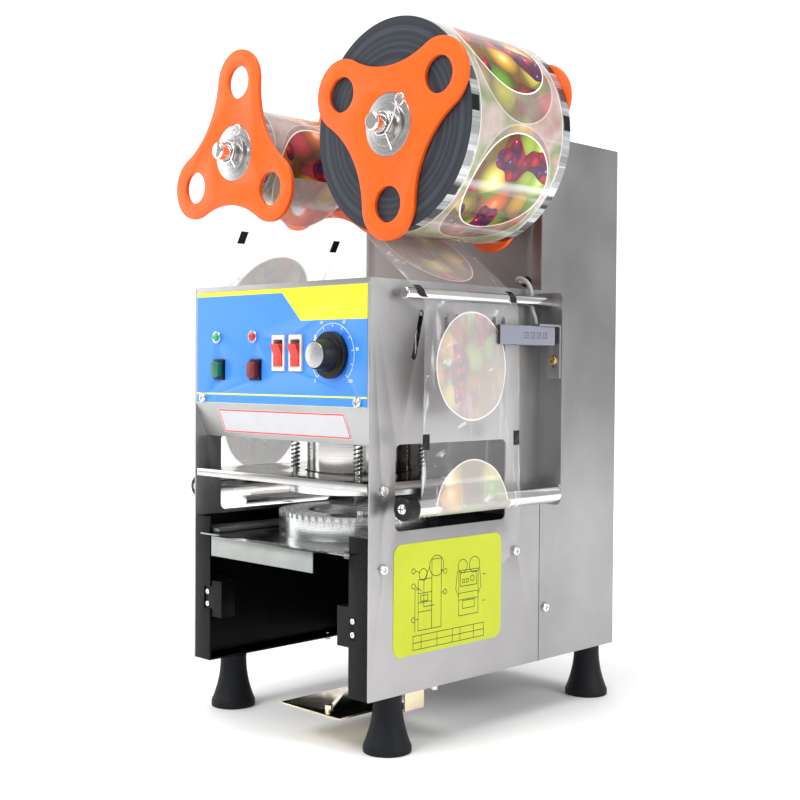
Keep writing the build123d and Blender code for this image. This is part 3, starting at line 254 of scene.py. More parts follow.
def fruit(g, du, dv, seed):
    """Colours of a heap of generic fruit: large smooth bodies with small berries between."""
    point = g.vector(du, dv, seed)
    big = g.add("TexVoronoi", feature="SMOOTH_F1")
    g.put(big.inputs["Vector"], point)
    big.inputs["Scale"].default_value = 34.0
    big.inputs["Smoothness"].default_value = 0.06
    pick = g.xyz(big.outputs["Color"])[0]
    skins = g.ramp(pick, [
        (0.0, (0.55, 0.02, 0.015)), (0.16, (0.16, 0.42, 0.03)), (0.34, (0.92, 0.50, 0.03)),
        (0.48, (0.80, 0.16, 0.02)), (0.62, (0.42, 0.62, 0.08)), (0.78, (0.85, 0.72, 0.10)),
        (0.90, (0.70, 0.05, 0.10))], "CONSTANT")
    shade = g.spread(big.outputs["Distance"], 0.12, 0.62, 0.0, 0.9)
    body = g.mix(shade, skins, (0.07, 0.035, 0.01, 1))
    shine = g.spread(big.outputs["Distance"], 0.0, 0.24, 0.6, 0.0)
    body = g.mix(shine, body, (1.0, 0.95, 0.80, 1))
    small = g.add("TexVoronoi")
    g.put(small.inputs["Vector"], point)
    small.inputs["Scale"].default_value = 120.0
    pick = g.xyz(small.outputs["Color"])[1]
    berry = g.ramp(pick, [(0.0, (0.30, 0.0, 0.05)), (0.4, (0.60, 0.01, 0.02)), (0.7, (0.07, 0.01, 0.10))],
                   "CONSTANT")
    berry = g.mix(g.spread(small.outputs["Distance"], 0.1, 0.7, 0.0, 0.8), berry, (0.04, 0.0, 0.02, 1))
    berry = g.mix(g.spread(small.outputs["Distance"], 0.0, 0.16, 0.8, 0.0), berry, (1.0, 0.85, 0.85, 1))
    patch = g.noise(point, 24.0, 1.0)
    return g.mix(g.calc("GREATER_THAN", patch, 0.57), body, berry)


LID_PITCH = 128 * MM
LID_RADIUS = 47.5 * MM
MARK = (9 * MM, 6.5 * MM)
PRINT_SHIFT = 3.3 * MM


def print_layer(g, u, v, shift):
    """Masks of one layer of print, shifted along the film: disc, its border, marks and picture."""
    turn = g.calc("DIVIDE", g.calc("ADD", u, shift), LID_PITCH)
    index = g.calc("FLOOR", turn)
    du = g.calc("MULTIPLY", g.calc("SUBTRACT", g.calc("SUBTRACT", turn, index), 0.5), LID_PITCH)
    radius = g.calc("SQRT", g.calc("ADD", g.calc("MULTIPLY", du, du), g.calc("MULTIPLY", v, v)))
    disc = g.calc("LESS_THAN", radius, LID_RADIUS)
    border = g.between(radius, LID_RADIUS - 1.3 * MM, LID_RADIUS)
    near = g.calc("LESS_THAN", g.calc("SUBTRACT", LID_PITCH / 2, g.calc("ABSOLUTE", du)), MARK[1])
    edge = g.calc("GREATER_THAN", g.calc("ABSOLUTE", v), FILM_WIDTH / 2 - MARK[0])
    picture = fruit(g, du, v, g.calc("ADD", g.calc("MULTIPLY", index, 0.37), shift * 9))
    return disc, border, g.calc("MULTIPLY", near, edge), picture


def web_print():
    """The hanging film: clear, with pastel printed lids, eye marks, and creases with painted white
    highlights along them.
    """
    g = Graph("film_web_print")
    uv = g.add("UVMap", uv_map="film")
    u, v, _ = g.xyz(uv.outputs[0])
    disc, border, mark, picture = print_layer(g, u, v, 0.0)
    picture = g.mix(0.48, picture, (0.98, 0.93, 0.93, 1))
    picture = g.mix(border, picture, (0.97, 0.92, 0.88, 1))
    long_folds = g.noise(g.vector(g.calc("MULTIPLY", u, 0.16), v, 0.0), 85.0, 3.0, 0.6)
    slack = g.noise(g.vector(g.calc("MULTIPLY", u, 1.6), g.calc("ADD", v, u), 1.0), 26.0, 3.0, 0.6)
    off_middle = g.spread(g.calc("ABSOLUTE", v), 34 * MM, 62 * MM, 0.15, 1.0)
    # Painted highlight: along the creases the film is painted white and made more opaque, standing in for
    # their glints.
    crease_highlight = g.calc("MULTIPLY", g.spread(long_folds, 0.56, 0.66, 0.0, 1.0), off_middle)
    crease_highlight = g.calc("MAXIMUM", crease_highlight, g.spread(slack, 0.63, 0.69, 0.0, 0.8))
    colour = g.mix(disc, (0.90, 0.90, 0.92, 1), picture)
    colour = g.mix(g.calc("MULTIPLY", crease_highlight, 0.75), colour, (1.0, 1.0, 1.0, 1))
    colour = g.mix(mark, colour, (0.012, 0.012, 0.014, 1))
    opacity = g.spread(crease_highlight, 0.0, 1.0, 0.13, 0.62)
    opacity = g.calc("MAXIMUM", opacity, g.calc("MULTIPLY", disc, 0.74))
    opacity = g.calc("MAXIMUM", opacity, mark)
    g.bump(g.calc("ADD", long_folds, slack), 0.5, 0.002)
    g.put(g.shader.inputs["Alpha"], opacity)
    return g.finish(colour, g.spread(disc, 0.0, 1.0, 0.10, 0.25), 0.0, IOR=1.5)


def wound_print():
    """Film on a roll: the top lids over a milky stack of the ones below, silvery edge bands with painted
    highlight streaks, and a painted glare.
    """
    g = Graph("film_roll_print")
    uv = g.add("UVMap", uv_map="film")
    u, v, _ = g.xyz(uv.outputs[0])
    streak = g.noise(g.vector(u, g.calc("MULTIPLY", v, 0.02), 0.0), 110.0, 4.0, 0.75)
    glare = g.noise(g.vector(u, g.calc("MULTIPLY", v, 0.05), 4.0), 42.0, 2.0, 0.5)
    clouds = g.noise(g.vector(u, v, 2.0), 16.0, 3.0)
    stack = g.ramp(clouds, [(0.30, (0.34, 0.18, 0.15)), (0.45, (0.52, 0.42, 0.40)),
                            (0.58, (0.22, 0.28, 0.13)), (0.70, (0.55, 0.32, 0.28))])
    for shift, share in ((71 * MM, 0.40), (38 * MM, 0.55)):
        disc, border, _, picture = print_layer(g, u, v, shift)
        stack = g.mix(g.calc("MULTIPLY", disc, share), stack, picture)
        stack = g.mix(g.calc("MULTIPLY", border, share), stack, (0.85, 0.75, 0.72, 1))
    # Painted highlight: the silvery edge bands run in streaks from dark to near white across the width,
    # standing in for reflections.
    silver_sheen = g.ramp(streak, [(0.32, (0.16, 0.165, 0.17)), (0.48, (0.42, 0.43, 0.44)),
                             (0.62, (0.72, 0.73, 0.74)), (0.74, (0.90, 0.90, 0.90))])
    across = g.calc("ABSOLUTE", v)
    band = g.calc("GREATER_THAN", across, 54.0 * MM)
    colour = g.mix(band, stack, silver_sheen)
    for shift, tone in ((83 * MM, 0.30), (26 * MM, 0.12), (56 * MM, 0.02), (0.0, 0.012)):
        turn = g.calc("FRACT", g.calc("DIVIDE", g.calc("ADD", u, shift), LID_PITCH))
        off = g.calc("ABSOLUTE", g.calc("SUBTRACT", turn, 0.5))
        near = g.calc("LESS_THAN", off, MARK[1] / LID_PITCH)
        near = g.calc("MULTIPLY", near, g.calc("GREATER_THAN", across, FILM_WIDTH / 2 - MARK[0]))
        colour = g.mix(near, colour, (tone, tone, tone, 1))
    disc, border, _, picture = print_layer(g, u, v, LID_PITCH / 2)
    colour = g.mix(disc, colour, picture)
    colour = g.mix(border, colour, (0.90, 0.84, 0.80, 1))
    rim = g.calc("MULTIPLY", g.between(across, 53.0 * MM, 54.0 * MM), 0.6)
    colour = g.mix(rim, colour, (0.86, 0.84, 0.83, 1))
    colour = g.mix(g.spread(glare, 0.60, 0.68, 0.0, 0.45), colour, (0.96, 0.96, 0.96, 1))
    g.bump(streak, 0.35, 0.0012)
    rough = g.spread(streak, 0.3, 0.7, 0.10, 0.20)
    return g.finish(colour, rough, g.calc("MULTIPLY", band, 0.55), IOR=1.6)


def roll_side():
    """Edges of the wound film: countless fine rings, dark slate with paler bands."""
    g = Graph("wound_film_edge")
    uv = g.add("UVMap", uv_map="film")
    radius = g.xyz(uv.outputs[0])[0]
    fine = g.noise(g.vector(g.calc("MULTIPLY", radius, 60.0), 0.0, 0.0), 40.0, 4.0, 0.8)
    wide = g.noise(g.vector(g.calc("MULTIPLY", radius, 6.0), 3.0, 0.0), 30.0, 2.0)
    tone = g.calc("ADD", g.calc("MULTIPLY", fine, 0.6), g.calc("MULTIPLY", wide, 0.5))
    colour = g.ramp(tone, [(0.30, (0.006, 0.007, 0.010)), (0.55, (0.020, 0.024, 0.032)),
                           (0.75, (0.065, 0.075, 0.090))])
    g.bump(fine, 0.4, 0.0004)
    return g.finish(colour, 0.38, Specular_IOR_Level=0.22)


def panel_print():
    """Blue panel with yellow title block, strip and rules, painted by place."""
    g = Graph("panel_print")
    x, _, z = g.xyz(g.place())
    top = PANEL_TOP
    yellow_strip = g.calc("GREATER_THAN", z, top - 4 * MM)
    slope_x = g.calc("ADD", x, g.calc("SUBTRACT", z, top - 4 * MM))
    block = g.calc("MULTIPLY", g.calc("GREATER_THAN", slope_x, 8 * MM),
                   g.calc("GREATER_THAN", z, top - 29 * MM))
    rule = g.between(z, top - 95.3 * MM, top - 93.8 * MM)
    foot = g.between(z, top - 105 * MM, top - 102.6 * MM)
    yellow = g.calc("MAXIMUM", g.calc("MAXIMUM", yellow_strip, block), g.calc("MAXIMUM", rule, foot))
    ink = g.noise(g.place(), 40.0, 4.0)
    blue = g.mix(ink, (0.030, 0.205, 0.76, 1), (0.045, 0.235, 0.80, 1))
    gold = g.mix(ink, (0.62, 0.70, 0.006, 1), (0.70, 0.76, 0.02, 1))
    g.bump(g.noise(g.place(), 1500.0, 2.0), 0.03, 0.0002)
    return g.finish(g.mix(yellow, blue, gold), g.spread(ink, 0.3, 0.7, 0.30, 0.40))


def caution_print(centre, width, height):
    """White plate with a thin red frame."""
    g = Graph("caution_print")
    x, _, z = g.xyz(g.place())
    inset = 2.2 * MM
    line = 1.2 * MM
    ax = g.calc("ABSOLUTE", g.calc("SUBTRACT", x, centre.x))
    az = g.calc("ABSOLUTE", g.calc("SUBTRACT", z, centre.z))
    outside = g.calc("MAXIMUM", g.calc("GREATER_THAN", ax, width / 2 - inset),
                     g.calc("GREATER_THAN", az, height / 2 - inset * 0.8))
    inner = g.calc("MAXIMUM", g.calc("GREATER_THAN", ax, width / 2 - inset + line),
                   g.calc("GREATER_THAN", az, height / 2 - inset * 0.8 + line))
    frame_line = g.calc("SUBTRACT", outside, inner)
    grime = g.noise(g.place(), 60.0, 3.0)
    white = g.mix(grime, (0.58, 0.58, 0.60, 1), (0.50, 0.50, 0.53, 1))
    return g.finish(g.mix(frame_line, white, (0.75, 0.03, 0.02, 1)), g.spread(grime, 0.3, 0.7, 0.3, 0.42))


STEEL = brushed("stainless_satin", (0.42, 0.41, 0.415), 0.34, (1, 1, 90))
STEEL_COLUMN = brushed("stainless_column", (0.38, 0.38, 0.385), 0.34, (1, 1, 90))
STEEL_DARK = brushed("stainless_bulkhead", (0.25, 0.225, 0.215), 0.40, (90, 1, 1), None, 0.186)
STEEL_PANEL = brushed("stainless_panel", (0.43, 0.435, 0.43), 0.42, (1, 1, 60))
TRAY_MIRROR = polished("tray_sheet", (0.30, 0.315, 0.30), 0.10)
PLATE_MIRROR = polished("press_sheet", (0.50, 0.49, 0.475), 0.09)
CREAM_MIRROR = polished("loading_sheet", (0.80, 0.69, 0.50), 0.10)
SPRING = brushed("spring_wire", (0.24, 0.235, 0.225), 0.35, (30, 30, 30))
CHROME = polished("chrome", (0.80, 0.80, 0.79), 0.08)
BRIGHT = polished("bright_screw", (0.74, 0.74, 0.72), 0.16)
GALVANISED = brushed("machined_steel", (0.30, 0.30, 0.31), 0.42, (1, 30, 1))
ALUMINIUM = turned("turned_aluminium", (0.72, 0.73, 0.745), 0.24, False, middle("cup_ring"))
HEATER = turned("heater_steel", (0.62, 0.61, 0.60), 0.13, False, middle("heater"))
WASHER_S = turned("washer_steel_supply", (0.50, 0.50, 0.50), 0.26, True, SUPPLY)
WASHER_T = turned("washer_steel_takeup", (0.50, 0.50, 0.50), 0.26, True, TAKEUP)
BLACK = plastic("black_frame_paint", (0.003, 0.003, 0.004), 0.30, 0.05, 500.0, 0.3, 0.14)
RUBBER = plastic("foot_rubber", (0.008, 0.009, 0.012), 0.55, 0.12, 1200.0, 0.25, 0.20)
ORANGE = plastic("orange_moulding", (0.86, 0.105, 0.008), 0.33, 0.04, 700.0, 0.10, 0.25)
BLACK_PLASTIC = plastic("black_moulding", (0.006, 0.006, 0.007), 0.36, 0.06, 900.0, 0.3, 0.3)
WHITE_PLASTIC = plastic("white_moulding", (0.62, 0.60, 0.56), 0.38, 0.04)
RED_KEY = plastic("red_key", (0.62, 0.018, 0.010), 0.28, 0.03, 700.0, 0.15)
GREEN_KEY = plastic("green_key", (0.008, 0.14, 0.085), 0.25, 0.03, 700.0, 0.2)
WINE_KEY = plastic("wine_key", (0.16, 0.008, 0.006), 0.25, 0.03, 700.0, 0.2)
SENSOR_GREY = plastic("sensor_grey", (0.235, 0.24, 0.30), 0.48, 0.06, 800.0)
SENSOR_DARK = plastic("sensor_jaw", (0.022, 0.021, 0.024), 0.5, 0.06, 800.0)
CABLE_GREY = plastic("cable_sheath", (0.46, 0.455, 0.43), 0.5, 0.05, 600.0)
NYLON = plastic("nylon_gear", (0.60, 0.58, 0.53), 0.45, 0.04)
MOTOR = plastic("motor_enamel", (0.05, 0.052, 0.055), 0.4, 0.08, 300.0)
BOARD = plastic("board_lacquer", (0.008, 0.10, 0.03), 0.35, 0.1, 300.0, 0.3)
CARD = plastic("core_card", (0.30, 0.21, 0.12), 0.85, 0.25, 400.0, 0.2)
SEAM = plastic("joint_shadow", (0.05, 0.048, 0.05), 0.6, 0.02)
INK_WHITE = plastic("white_ink", (0.80, 0.80, 0.80), 0.5, 0.02)
# Black print, also used as painted shade in the cross recesses of the roller cap screws.
BLACK_INK_AND_SHADE = plastic("black_ink_and_recess_shade", (0.012, 0.012, 0.012), 0.5, 0.02)
CHART_YELLOW = plastic("chart_yellow", (0.52, 0.585, 0.008), 0.42, 0.02, 500.0, 0.06)
BRASS = turned("brass_screw", (0.70, 0.50, 0.20), 0.22, True, middle("sensor_holder"))
FILM_CLEAR = web_print()
FILM_WOUND = wound_print()
ROLL_SIDE = roll_side()


# ---------------------------------------------------------------- making pieces
def new_piece(name, mesh, material, body):
    piece = bpy.data.objects.new(name, mesh)
    bpy.context.scene.collection.objects.link(piece)
    mesh.materials.append(material)
    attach(piece, body)
    return piece


def from_bmesh(name, bm, material, body, angle=35):
    mesh = bpy.data.meshes.new(name)
    bmesh.ops.recalc_face_normals(bm, faces=bm.faces)
    bm.to_mesh(mesh)
    bm.free()
    mesh.shade_smooth()
    mesh.set_sharp_from_angle(angle=math.radians(angle))
    return new_piece(name, mesh, material, body)


def body_of_node(node):
    for name, members in frame["record"]["behaviour"]["bodies"].items():
        if node in members:
            return name
    raise KeyError(node)


def cad_bmesh(node):
    """A node's mesh, welded and with its flat faces joined, as a new bmesh."""
    bm = bmesh.new()
    bm.from_mesh(nodes[node].data)
    bmesh.ops.remove_doubles(bm, verts=bm.verts, dist=2e-6)
    bmesh.ops.dissolve_limit(bm, angle_limit=math.radians(0.4), verts=bm.verts, edges=bm.edges,
                             delimit={"NORMAL"})
    return bm


def soften(node, width, material, segments=2, replace=True, bm=None):
    """A copy of a CAD node with its sharp edges rounded, in its place."""
    bm = bm or cad_bmesh(node)
    sharp = [e for e in bm.edges if len(e.link_faces) == 2 and e.calc_face_angle(0) > math.radians(28)]
    bmesh.ops.bevel(bm, geom=sharp, offset=width, segments=segments, profile=0.7, affect="EDGES",
                    clamp_overlap=True)
    piece = from_bmesh(node + "_fine", bm, material, body_of_node(node), 40)
    if replace:
        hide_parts(node)
    return piece


def islands(bm):
    """The separate solids of a bmesh, as lists of vertices."""
    left = set(bm.verts)
    groups = []
    while left:
        stack = [left.pop()]
        group = list(stack)
        while stack:
            for edge in stack.pop().link_edges:
                for vert in edge.verts:
                    if vert in left:
                        left.remove(vert)
                        group.append(vert)
                        stack.append(vert)
        groups.append(group)
    return groups


def only(node, keep):
    """A node's welded mesh with only the solids whose middle passes a test."""
    bm = cad_bmesh(node)
    for group in islands(bm):
        low, high = extent(group)
        if not keep((low + high) / 2, high - low):
            bmesh.ops.delete(bm, geom=group, context="VERTS")
    return bm


def extent(verts):
    """Low and high corner of some vertices."""
    corners = [[pick(v.co[i] for v in verts) for i in range(3)] for pick in (min, max)]
    return Vector(corners[0]), Vector(corners[1])


def part_of(node, width, material, keep, name=None, segments=2):
    """Some of a node's solids as a piece of their own, with rounded edges."""
    piece = soften(node, width * MM, material, segments, False, only(node, keep))
    if name:
        piece.name = name
    return piece


def turned_rings(bm, centre, profile, angles):
    """Rings of vertices round an axis along Y, one for each (radius, y) of a profile."""
    return [[bm.verts.new((centre.x + r * math.cos(a), centre.y + y, centre.z + r * math.sin(a)))
             for a in angles] for r, y in profile]


def tube(name, points, radius, material, body, closed=False, resolution=6):
    """A round wire along points, as a mesh."""
    curve = bpy.data.curves.new(name, "CURVE")
    curve.dimensions = "3D"
    curve.bevel_depth = radius
    curve.bevel_resolution = resolution
    curve.use_fill_caps = True
    spline = curve.splines.new("NURBS")
    spline.points.add(len(points) - 1)
    for target, point in zip(spline.points, points):
        target.co = (*point, 1)
    spline.order_u = 3
    spline.use_endpoint_u = not closed
    spline.use_cyclic_u = closed
    holder = bpy.data.objects.new(name, curve)
    mesh = bpy.data.meshes.new_from_object(holder)
    bpy.data.objects.remove(holder)
    mesh.name = name
    mesh.shade_smooth()
    return new_piece(name, mesh, material, body)


# ---------------------------------------------------------------- housing
def plain_nodes():
    """CAD nodes that keep their form: rounded edges and a finish each."""
    finishes = [
        ("side_panel_right", 0.4, STEEL), ("side_panel_left", 0.4, STEEL), ("top_cover", 0.4, STEEL),
        ("control_panel", 0.4, STEEL_PANEL), ("column_wrap", 0.6, STEEL_COLUMN),
        ("rear_cover", 0.3, STEEL_COLUMN), ("bay_frames", 0.4, BLACK), ("base_plate", 0.3, BLACK),
        ("feet", 1.2, RUBBER), ("loading_plate", 0.4, CREAM_MIRROR), ("film_brackets", 0.5, STEEL_COLUMN),
        ("film_rods", 0.3, CHROME), ("roller_right", 0.3, CHROME), ("roller_left", 0.3, CHROME),
        ("sensor_holder", 0.3, STEEL), ("cable_grommet", 0.3, RUBBER),
        ("supply_shaft", 0.3, CHROME), ("takeup_shaft", 0.3, CHROME),
        ("supply_spiders", 0.9, ORANGE), ("takeup_spiders", 0.9, ORANGE),
        ("reel_bearings", 0.4, GALVANISED), ("takeup_motor", 0.8, MOTOR), ("head_frame", 0.4, GALVANISED),
        ("guide_posts", 0.3, CHROME), ("head_carriage", 0.5, GALVANISED), ("heater", 0.5, HEATER),
        ("press_plate", 0.4, PLATE_MIRROR), ("die_ring", 0.6, ALUMINIUM), ("plate_pins", 0.3, CHROME),
        ("crank", 0.4, GALVANISED), ("head_motor", 0.8, MOTOR), ("drawer_tray", 0.4, TRAY_MIRROR),
        ("cup_ring", 0.35, ALUMINIUM), ("drawer_rack", 0.15, NYLON), ("drawer_rails", 0.3, GALVANISED),
        ("drawer_pinion", 0.15, NYLON), ("drawer_motor", 0.5, MOTOR), ("thermostat", 0.5, BLACK_PLASTIC),
        ("start_button", 0.5, GREEN_KEY), ("stop_button", 0.5, WINE_KEY),
        ("rocker_left", 0.6, RED_KEY), ("rocker_right", 0.6, RED_KEY), ("power_inlet", 0.5, BLACK_PLASTIC),
    ]
    for node, width, material in finishes:
        soften(node, width * MM, material)


def bulkhead():
    """Dark face of the column above the box; the part inside the cup bay is black."""
    soften("bulkhead", 0.3 * MM, STEEL_DARK)


def seams():
    """The dark joint between the front box and the column on both sides."""
    low, high = (Vector(c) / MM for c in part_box("side_panel_right"))
    for label, x in (("right", SIDE_X + 0.06 * MM), ("left", -SIDE_X - 0.06 * MM)):
        line = [[(high.y, low.z), (high.y, ROLLER_R.z / MM - 8)]]
        strokes("seam_" + label, line, 0.9, lambda a, b: (x, a, b), SEAM)


def screws():
    """Bright cross-head screws; the sensor's own is brass."""
    holder = middle("sensor_holder")

    def brassy(centre, _):
        return (centre - holder).length < 30 * MM

    steel = part_of("screws", 0.25, BRIGHT, lambda c, s: not brassy(c, s))
    part_of("screws", 0.25, BRASS, brassy, "sensor_screw")
    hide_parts("screws")


def spindles():
    """Black end caps, each with a bright screw in its middle, on steel spindles; each screw has a painted
    black cross standing in for the shade in its cross recess.
    """
    def capped(_, size):
        return size.y < 20 * MM

    part_of("roller_spindles", 0.6, BLACK_PLASTIC, capped, "roller_caps", 3)
    steel = part_of("roller_spindles", 0.2, CHROME, lambda c, s: not capped(c, s))
    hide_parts("roller_spindles")
    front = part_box("roller_spindles")[0][1]
    for label, roller in (("right", ROLLER_R), ("left", ROLLER_L)):
        bm = bmesh.new()
        flip = Matrix.Rotation(math.radians(90), 4, "X")
        bmesh.ops.create_cone(bm, cap_ends=True, segments=32, radius1=4.6 * MM, radius2=3.4 * MM,
                              depth=1.4 * MM, matrix=flip)
        bmesh.ops.translate(bm, verts=bm.verts, vec=(roller.x, front - 0.5 * MM, roller.z))
        from_bmesh("cap_screw_" + label, bm, BRIGHT, "housing", 30)
        # Painted shade: a black cross on each screw head stands in for the shaded recess of a cross-head
        # screw.
        x, z = roller.x / MM, roller.z / MM
        cross = [[(x - 2.4, z), (x + 2.4, z)], [(x, z - 2.4), (x, z + 2.4)]]
        strokes("cap_recess_shade_" + label, cross, 0.9, lambda a, b: (a, front - 1.25 * MM, b), BLACK_INK_AND_SHADE)


# ---------------------------------------------------------------- film
def tangent(first, second):
    """Straight web between two circles (x, z, radius, side), as two (x, z) points."""
    x1, z1, r1, s1 = first
    x2, z2, r2, s2 = second
    gap = math.hypot(x2 - x1, z2 - z1)
    heading = math.atan2(z2 - z1, x2 - x1) - math.asin((s2 * r2 - s1 * r1) / gap)
    nx, nz = -math.sin(heading), math.cos(heading)
    return (x1 - s1 * r1 * nx, z1 - s1 * r1 * nz), (x2 - s2 * r2 * nx, z2 - s2 * r2 * nz)


def web_path():
    """The film's line in X and Z from the supply roll to the take-up roll."""
    skin = 0.35 * MM
    circles = [
        (SUPPLY.x, SUPPLY.z, SUPPLY_RADIUS + skin, 1),
        (ROD_R.x, ROD_R.z, ROD_RADIUS + skin, -1),
        (ROLLER_R.x, ROLLER_R.z, ROLLER_RADIUS + skin, -1),
        (ROLLER_L.x, ROLLER_L.z, ROLLER_RADIUS + skin, -1),
        (ROD_L.x, ROD_L.z, ROD_RADIUS + skin, -1),
        (TAKEUP.x, TAKEUP.z, TAKEUP_RADIUS + skin, 1),
    ]
    runs = [tangent(a, b) for a, b in zip(circles, circles[1:])]
    points = []
    run_starts = []
    for i, (start, end) in enumerate(runs):
        run_starts.append(len(points))
        steps = max(2, int(math.dist(start, end) / (6 * MM)))
        points += [(start[0] + (end[0] - start[0]) * k / steps, start[1] + (end[1] - start[1]) * k / steps)
                   for k in range(steps + 1)]
        if i + 1 < len(runs):
            x, z, radius, side = circles[i + 1]
            a0 = math.atan2(end[1] - z, end[0] - x)
            a1 = math.atan2(runs[i + 1][0][1] - z, runs[i + 1][0][0] - x)
            sweep = (a1 - a0 + math.pi) % (2 * math.pi) - math.pi
            count = max(4, int(abs(sweep) * 10))
            points += [(x + radius * math.cos(a0 + sweep * k / count),
                        z + radius * math.sin(a0 + sweep * k / count)) for k in range(1, count)]
    return points, run_starts


def film_edges(z):
    """How far the film's front and back edges stand off their straight lines at a height."""
    share = min(1.0, max(0.0, (ROD_Z - z) / (ROD_Z - ROLLER_R.z)))
    return (8.0 - 14.0 * share) * MM, (1.0 - 6.0 * share) * MM


def film_web():
    """One continuous printed film through the machine, with its lids in register."""
    points, run_starts = web_path()
    lengths = [0.0]
    for a, b in zip(points, points[1:]):
        lengths.append(lengths[-1] + math.dist(a, b))
    drop, head_in, climb = (lengths[run_starts[i]] for i in (1, 2, 3))
    lid_on_climb = climb + (LEFT_LID_Z - ROLLER_L.z)
    slip = (LID_PITCH / 2 - (lid_on_climb - drop + PRINT_SHIFT)) % LID_PITCH
    columns = 44
    bm = bmesh.new()
    layer = bm.loops.layers.uv.new("film")
    rows = []
    prints = []
    for k, (x, z) in enumerate(points):
        before = points[max(k - 1, 0)]
        after = points[min(k + 1, len(points) - 1)]
        along = Vector((after[0] - before[0], 0, after[1] - before[1])).normalized()
        out = Vector((-along.z, 0, along.x))
        right_side = x > ROD_R.x - 8 * MM and ROLLER_R.z < z < ROD_Z
        front, back = film_edges(z) if right_side else (0.0, 0.0)
        free = min(1.0, max(0.0, (z - ROLLER_R.z) / (30 * MM)), max(0.0, (ROD_Z - z) / (30 * MM)))
        row = []
        for c in range(columns):
            share = c / (columns - 1)
            v = (share - 0.5) * FILM_WIDTH
            y = FILM_Y + v + front * (1 - share) + back * share
            wave = 0.8 * math.sin(v / (7.5 * MM) + z * 14) + 0.6 * math.sin(v / (4.1 * MM) - z * 21)
            swell = wave * free * (0.35 + 1.5 * abs(share - 0.5)) * MM if right_side else 0.0
            row.append(bm.verts.new(Vector((x, y, z)) + out * swell))
        rows.append(row)
        slipped = min(1.0, max(0.0, (lengths[k] - head_in) / (climb - head_in)))
        prints.append(lengths[k] - drop + PRINT_SHIFT + slip * slipped)
    for i in range(len(rows) - 1):
        for c in range(columns - 1):
            face = bm.faces.new((rows[i][c], rows[i][c + 1], rows[i + 1][c + 1], rows[i + 1][c]))
            corners = ((i, c), (i, c + 1), (i + 1, c + 1), (i + 1, c))
            for loop, (row, column) in zip(face.loops, corners):
                loop[layer].uv = (prints[row], (column / (columns - 1) - 0.5) * FILM_WIDTH)
    mesh = bpy.data.meshes.new("film")
    bm.to_mesh(mesh)
    bm.free()
    mesh.shade_smooth()
    piece = new_piece("film", mesh, FILM_CLEAR, "housing")
    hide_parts("film_web")
    return piece


def wound_roll(name, node, centre, radius, body, phase):
    """A wound roll: printed skin, ringed ends and a card core inside."""
    core_radius = 41.5 * MM
    half = span(node).y / 2
    segments = 144
    bm = bmesh.new()
    layer = bm.loops.layers.uv.new("film")
    chamfer = 0.6 * MM
    profile = [(core_radius, -half), (radius - chamfer, -half), (radius, -half + chamfer),
               (radius, half - chamfer), (radius - chamfer, half), (core_radius, half)]
    angles = [2 * math.pi * k / segments - math.pi for k in range(segments + 1)]
    rings = turned_rings(bm, centre, profile, angles[:-1])
    for p in range(len(profile) - 1):
        skin = p == 2
        for k in range(segments):
            n = (k + 1) % segments
            face = bm.faces.new((rings[p][k], rings[p][n], rings[p + 1][n], rings[p + 1][k]))
            face.material_index = 0 if skin else 1
            for loop, (q, s) in zip(face.loops, ((p, k), (p, k + 1), (p + 1, k + 1), (p + 1, k))):
                r, y = profile[q]
                if skin:
                    loop[layer].uv = (phase - radius * angles[s], y)
                else:
                    loop[layer].uv = (r, y)
    piece = from_bmesh(name, bm, FILM_WOUND, body)
    piece.data.materials.append(ROLL_SIDE)
    bm = bmesh.new()
    wall = [(core_radius, -half), (core_radius, half), (CORE_BORE, half), (CORE_BORE, -half)]
    rings = turned_rings(bm, centre, wall, angles[:-1])
    for first, second in zip(rings, rings[1:] + rings[:1]):
        for k in range(segments):
            n = (k + 1) % segments
            bm.faces.new((first[k], first[n], second[n], second[k]))
    from_bmesh(name + "_core", bm, CARD, body)
    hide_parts(node)
    return piece


# ---------------------------------------------------------------- reels
def ring_points(centre, radius, y, turn, count=14):
    """Points of a wire eye that faces forward."""
    return [(centre[0] + radius * math.cos(turn + 2 * math.pi * k / count), y,
             centre[1] + radius * math.sin(turn + 2 * math.pi * k / count)) for k in range(count)]


def lock(node, material, body, centre, eye, hook):
    """Stepped washers, and the sprung wire clip: a loop round the shaft, an eye and a hook."""
    washers = part_of(node, 0.5, material, lambda c, s: s.y > 2.2 * MM)
    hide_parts(node)
    wire = 0.75 * MM
    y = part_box(node)[0][1] + 0.2 * MM
    loop = ring_points((centre.x, centre.z), 10.2 * MM, y + 0.6 * MM, 0.0, 20)
    tube(node + "_loop", loop, wire, BRIGHT, body, closed=True)
    tube(node + "_eye", ring_points(eye, 5.0 * MM, y, 0.4), wire, BRIGHT, body, closed=True)
    start = Vector((centre.x, y, centre.z))
    toward = Vector((eye[0], y, eye[1])) - start
    side = Vector((toward.z, 0, -toward.x)).normalized() * 9.8 * MM
    stop = Vector((eye[0], y, eye[1])) - toward.normalized() * 4.6 * MM
    tube(node + "_arm", [start + side, start + side + toward * 0.35, stop], wire, BRIGHT, body)
    tip = Vector((hook[0], y, hook[1]))
    bend = start + (tip - start) * 0.45
    tube(node + "_hook", [start + side * 0.9, bend, tip, tip + Vector((-3 * MM, 0, 3.5 * MM))],
         wire, BRIGHT, body)


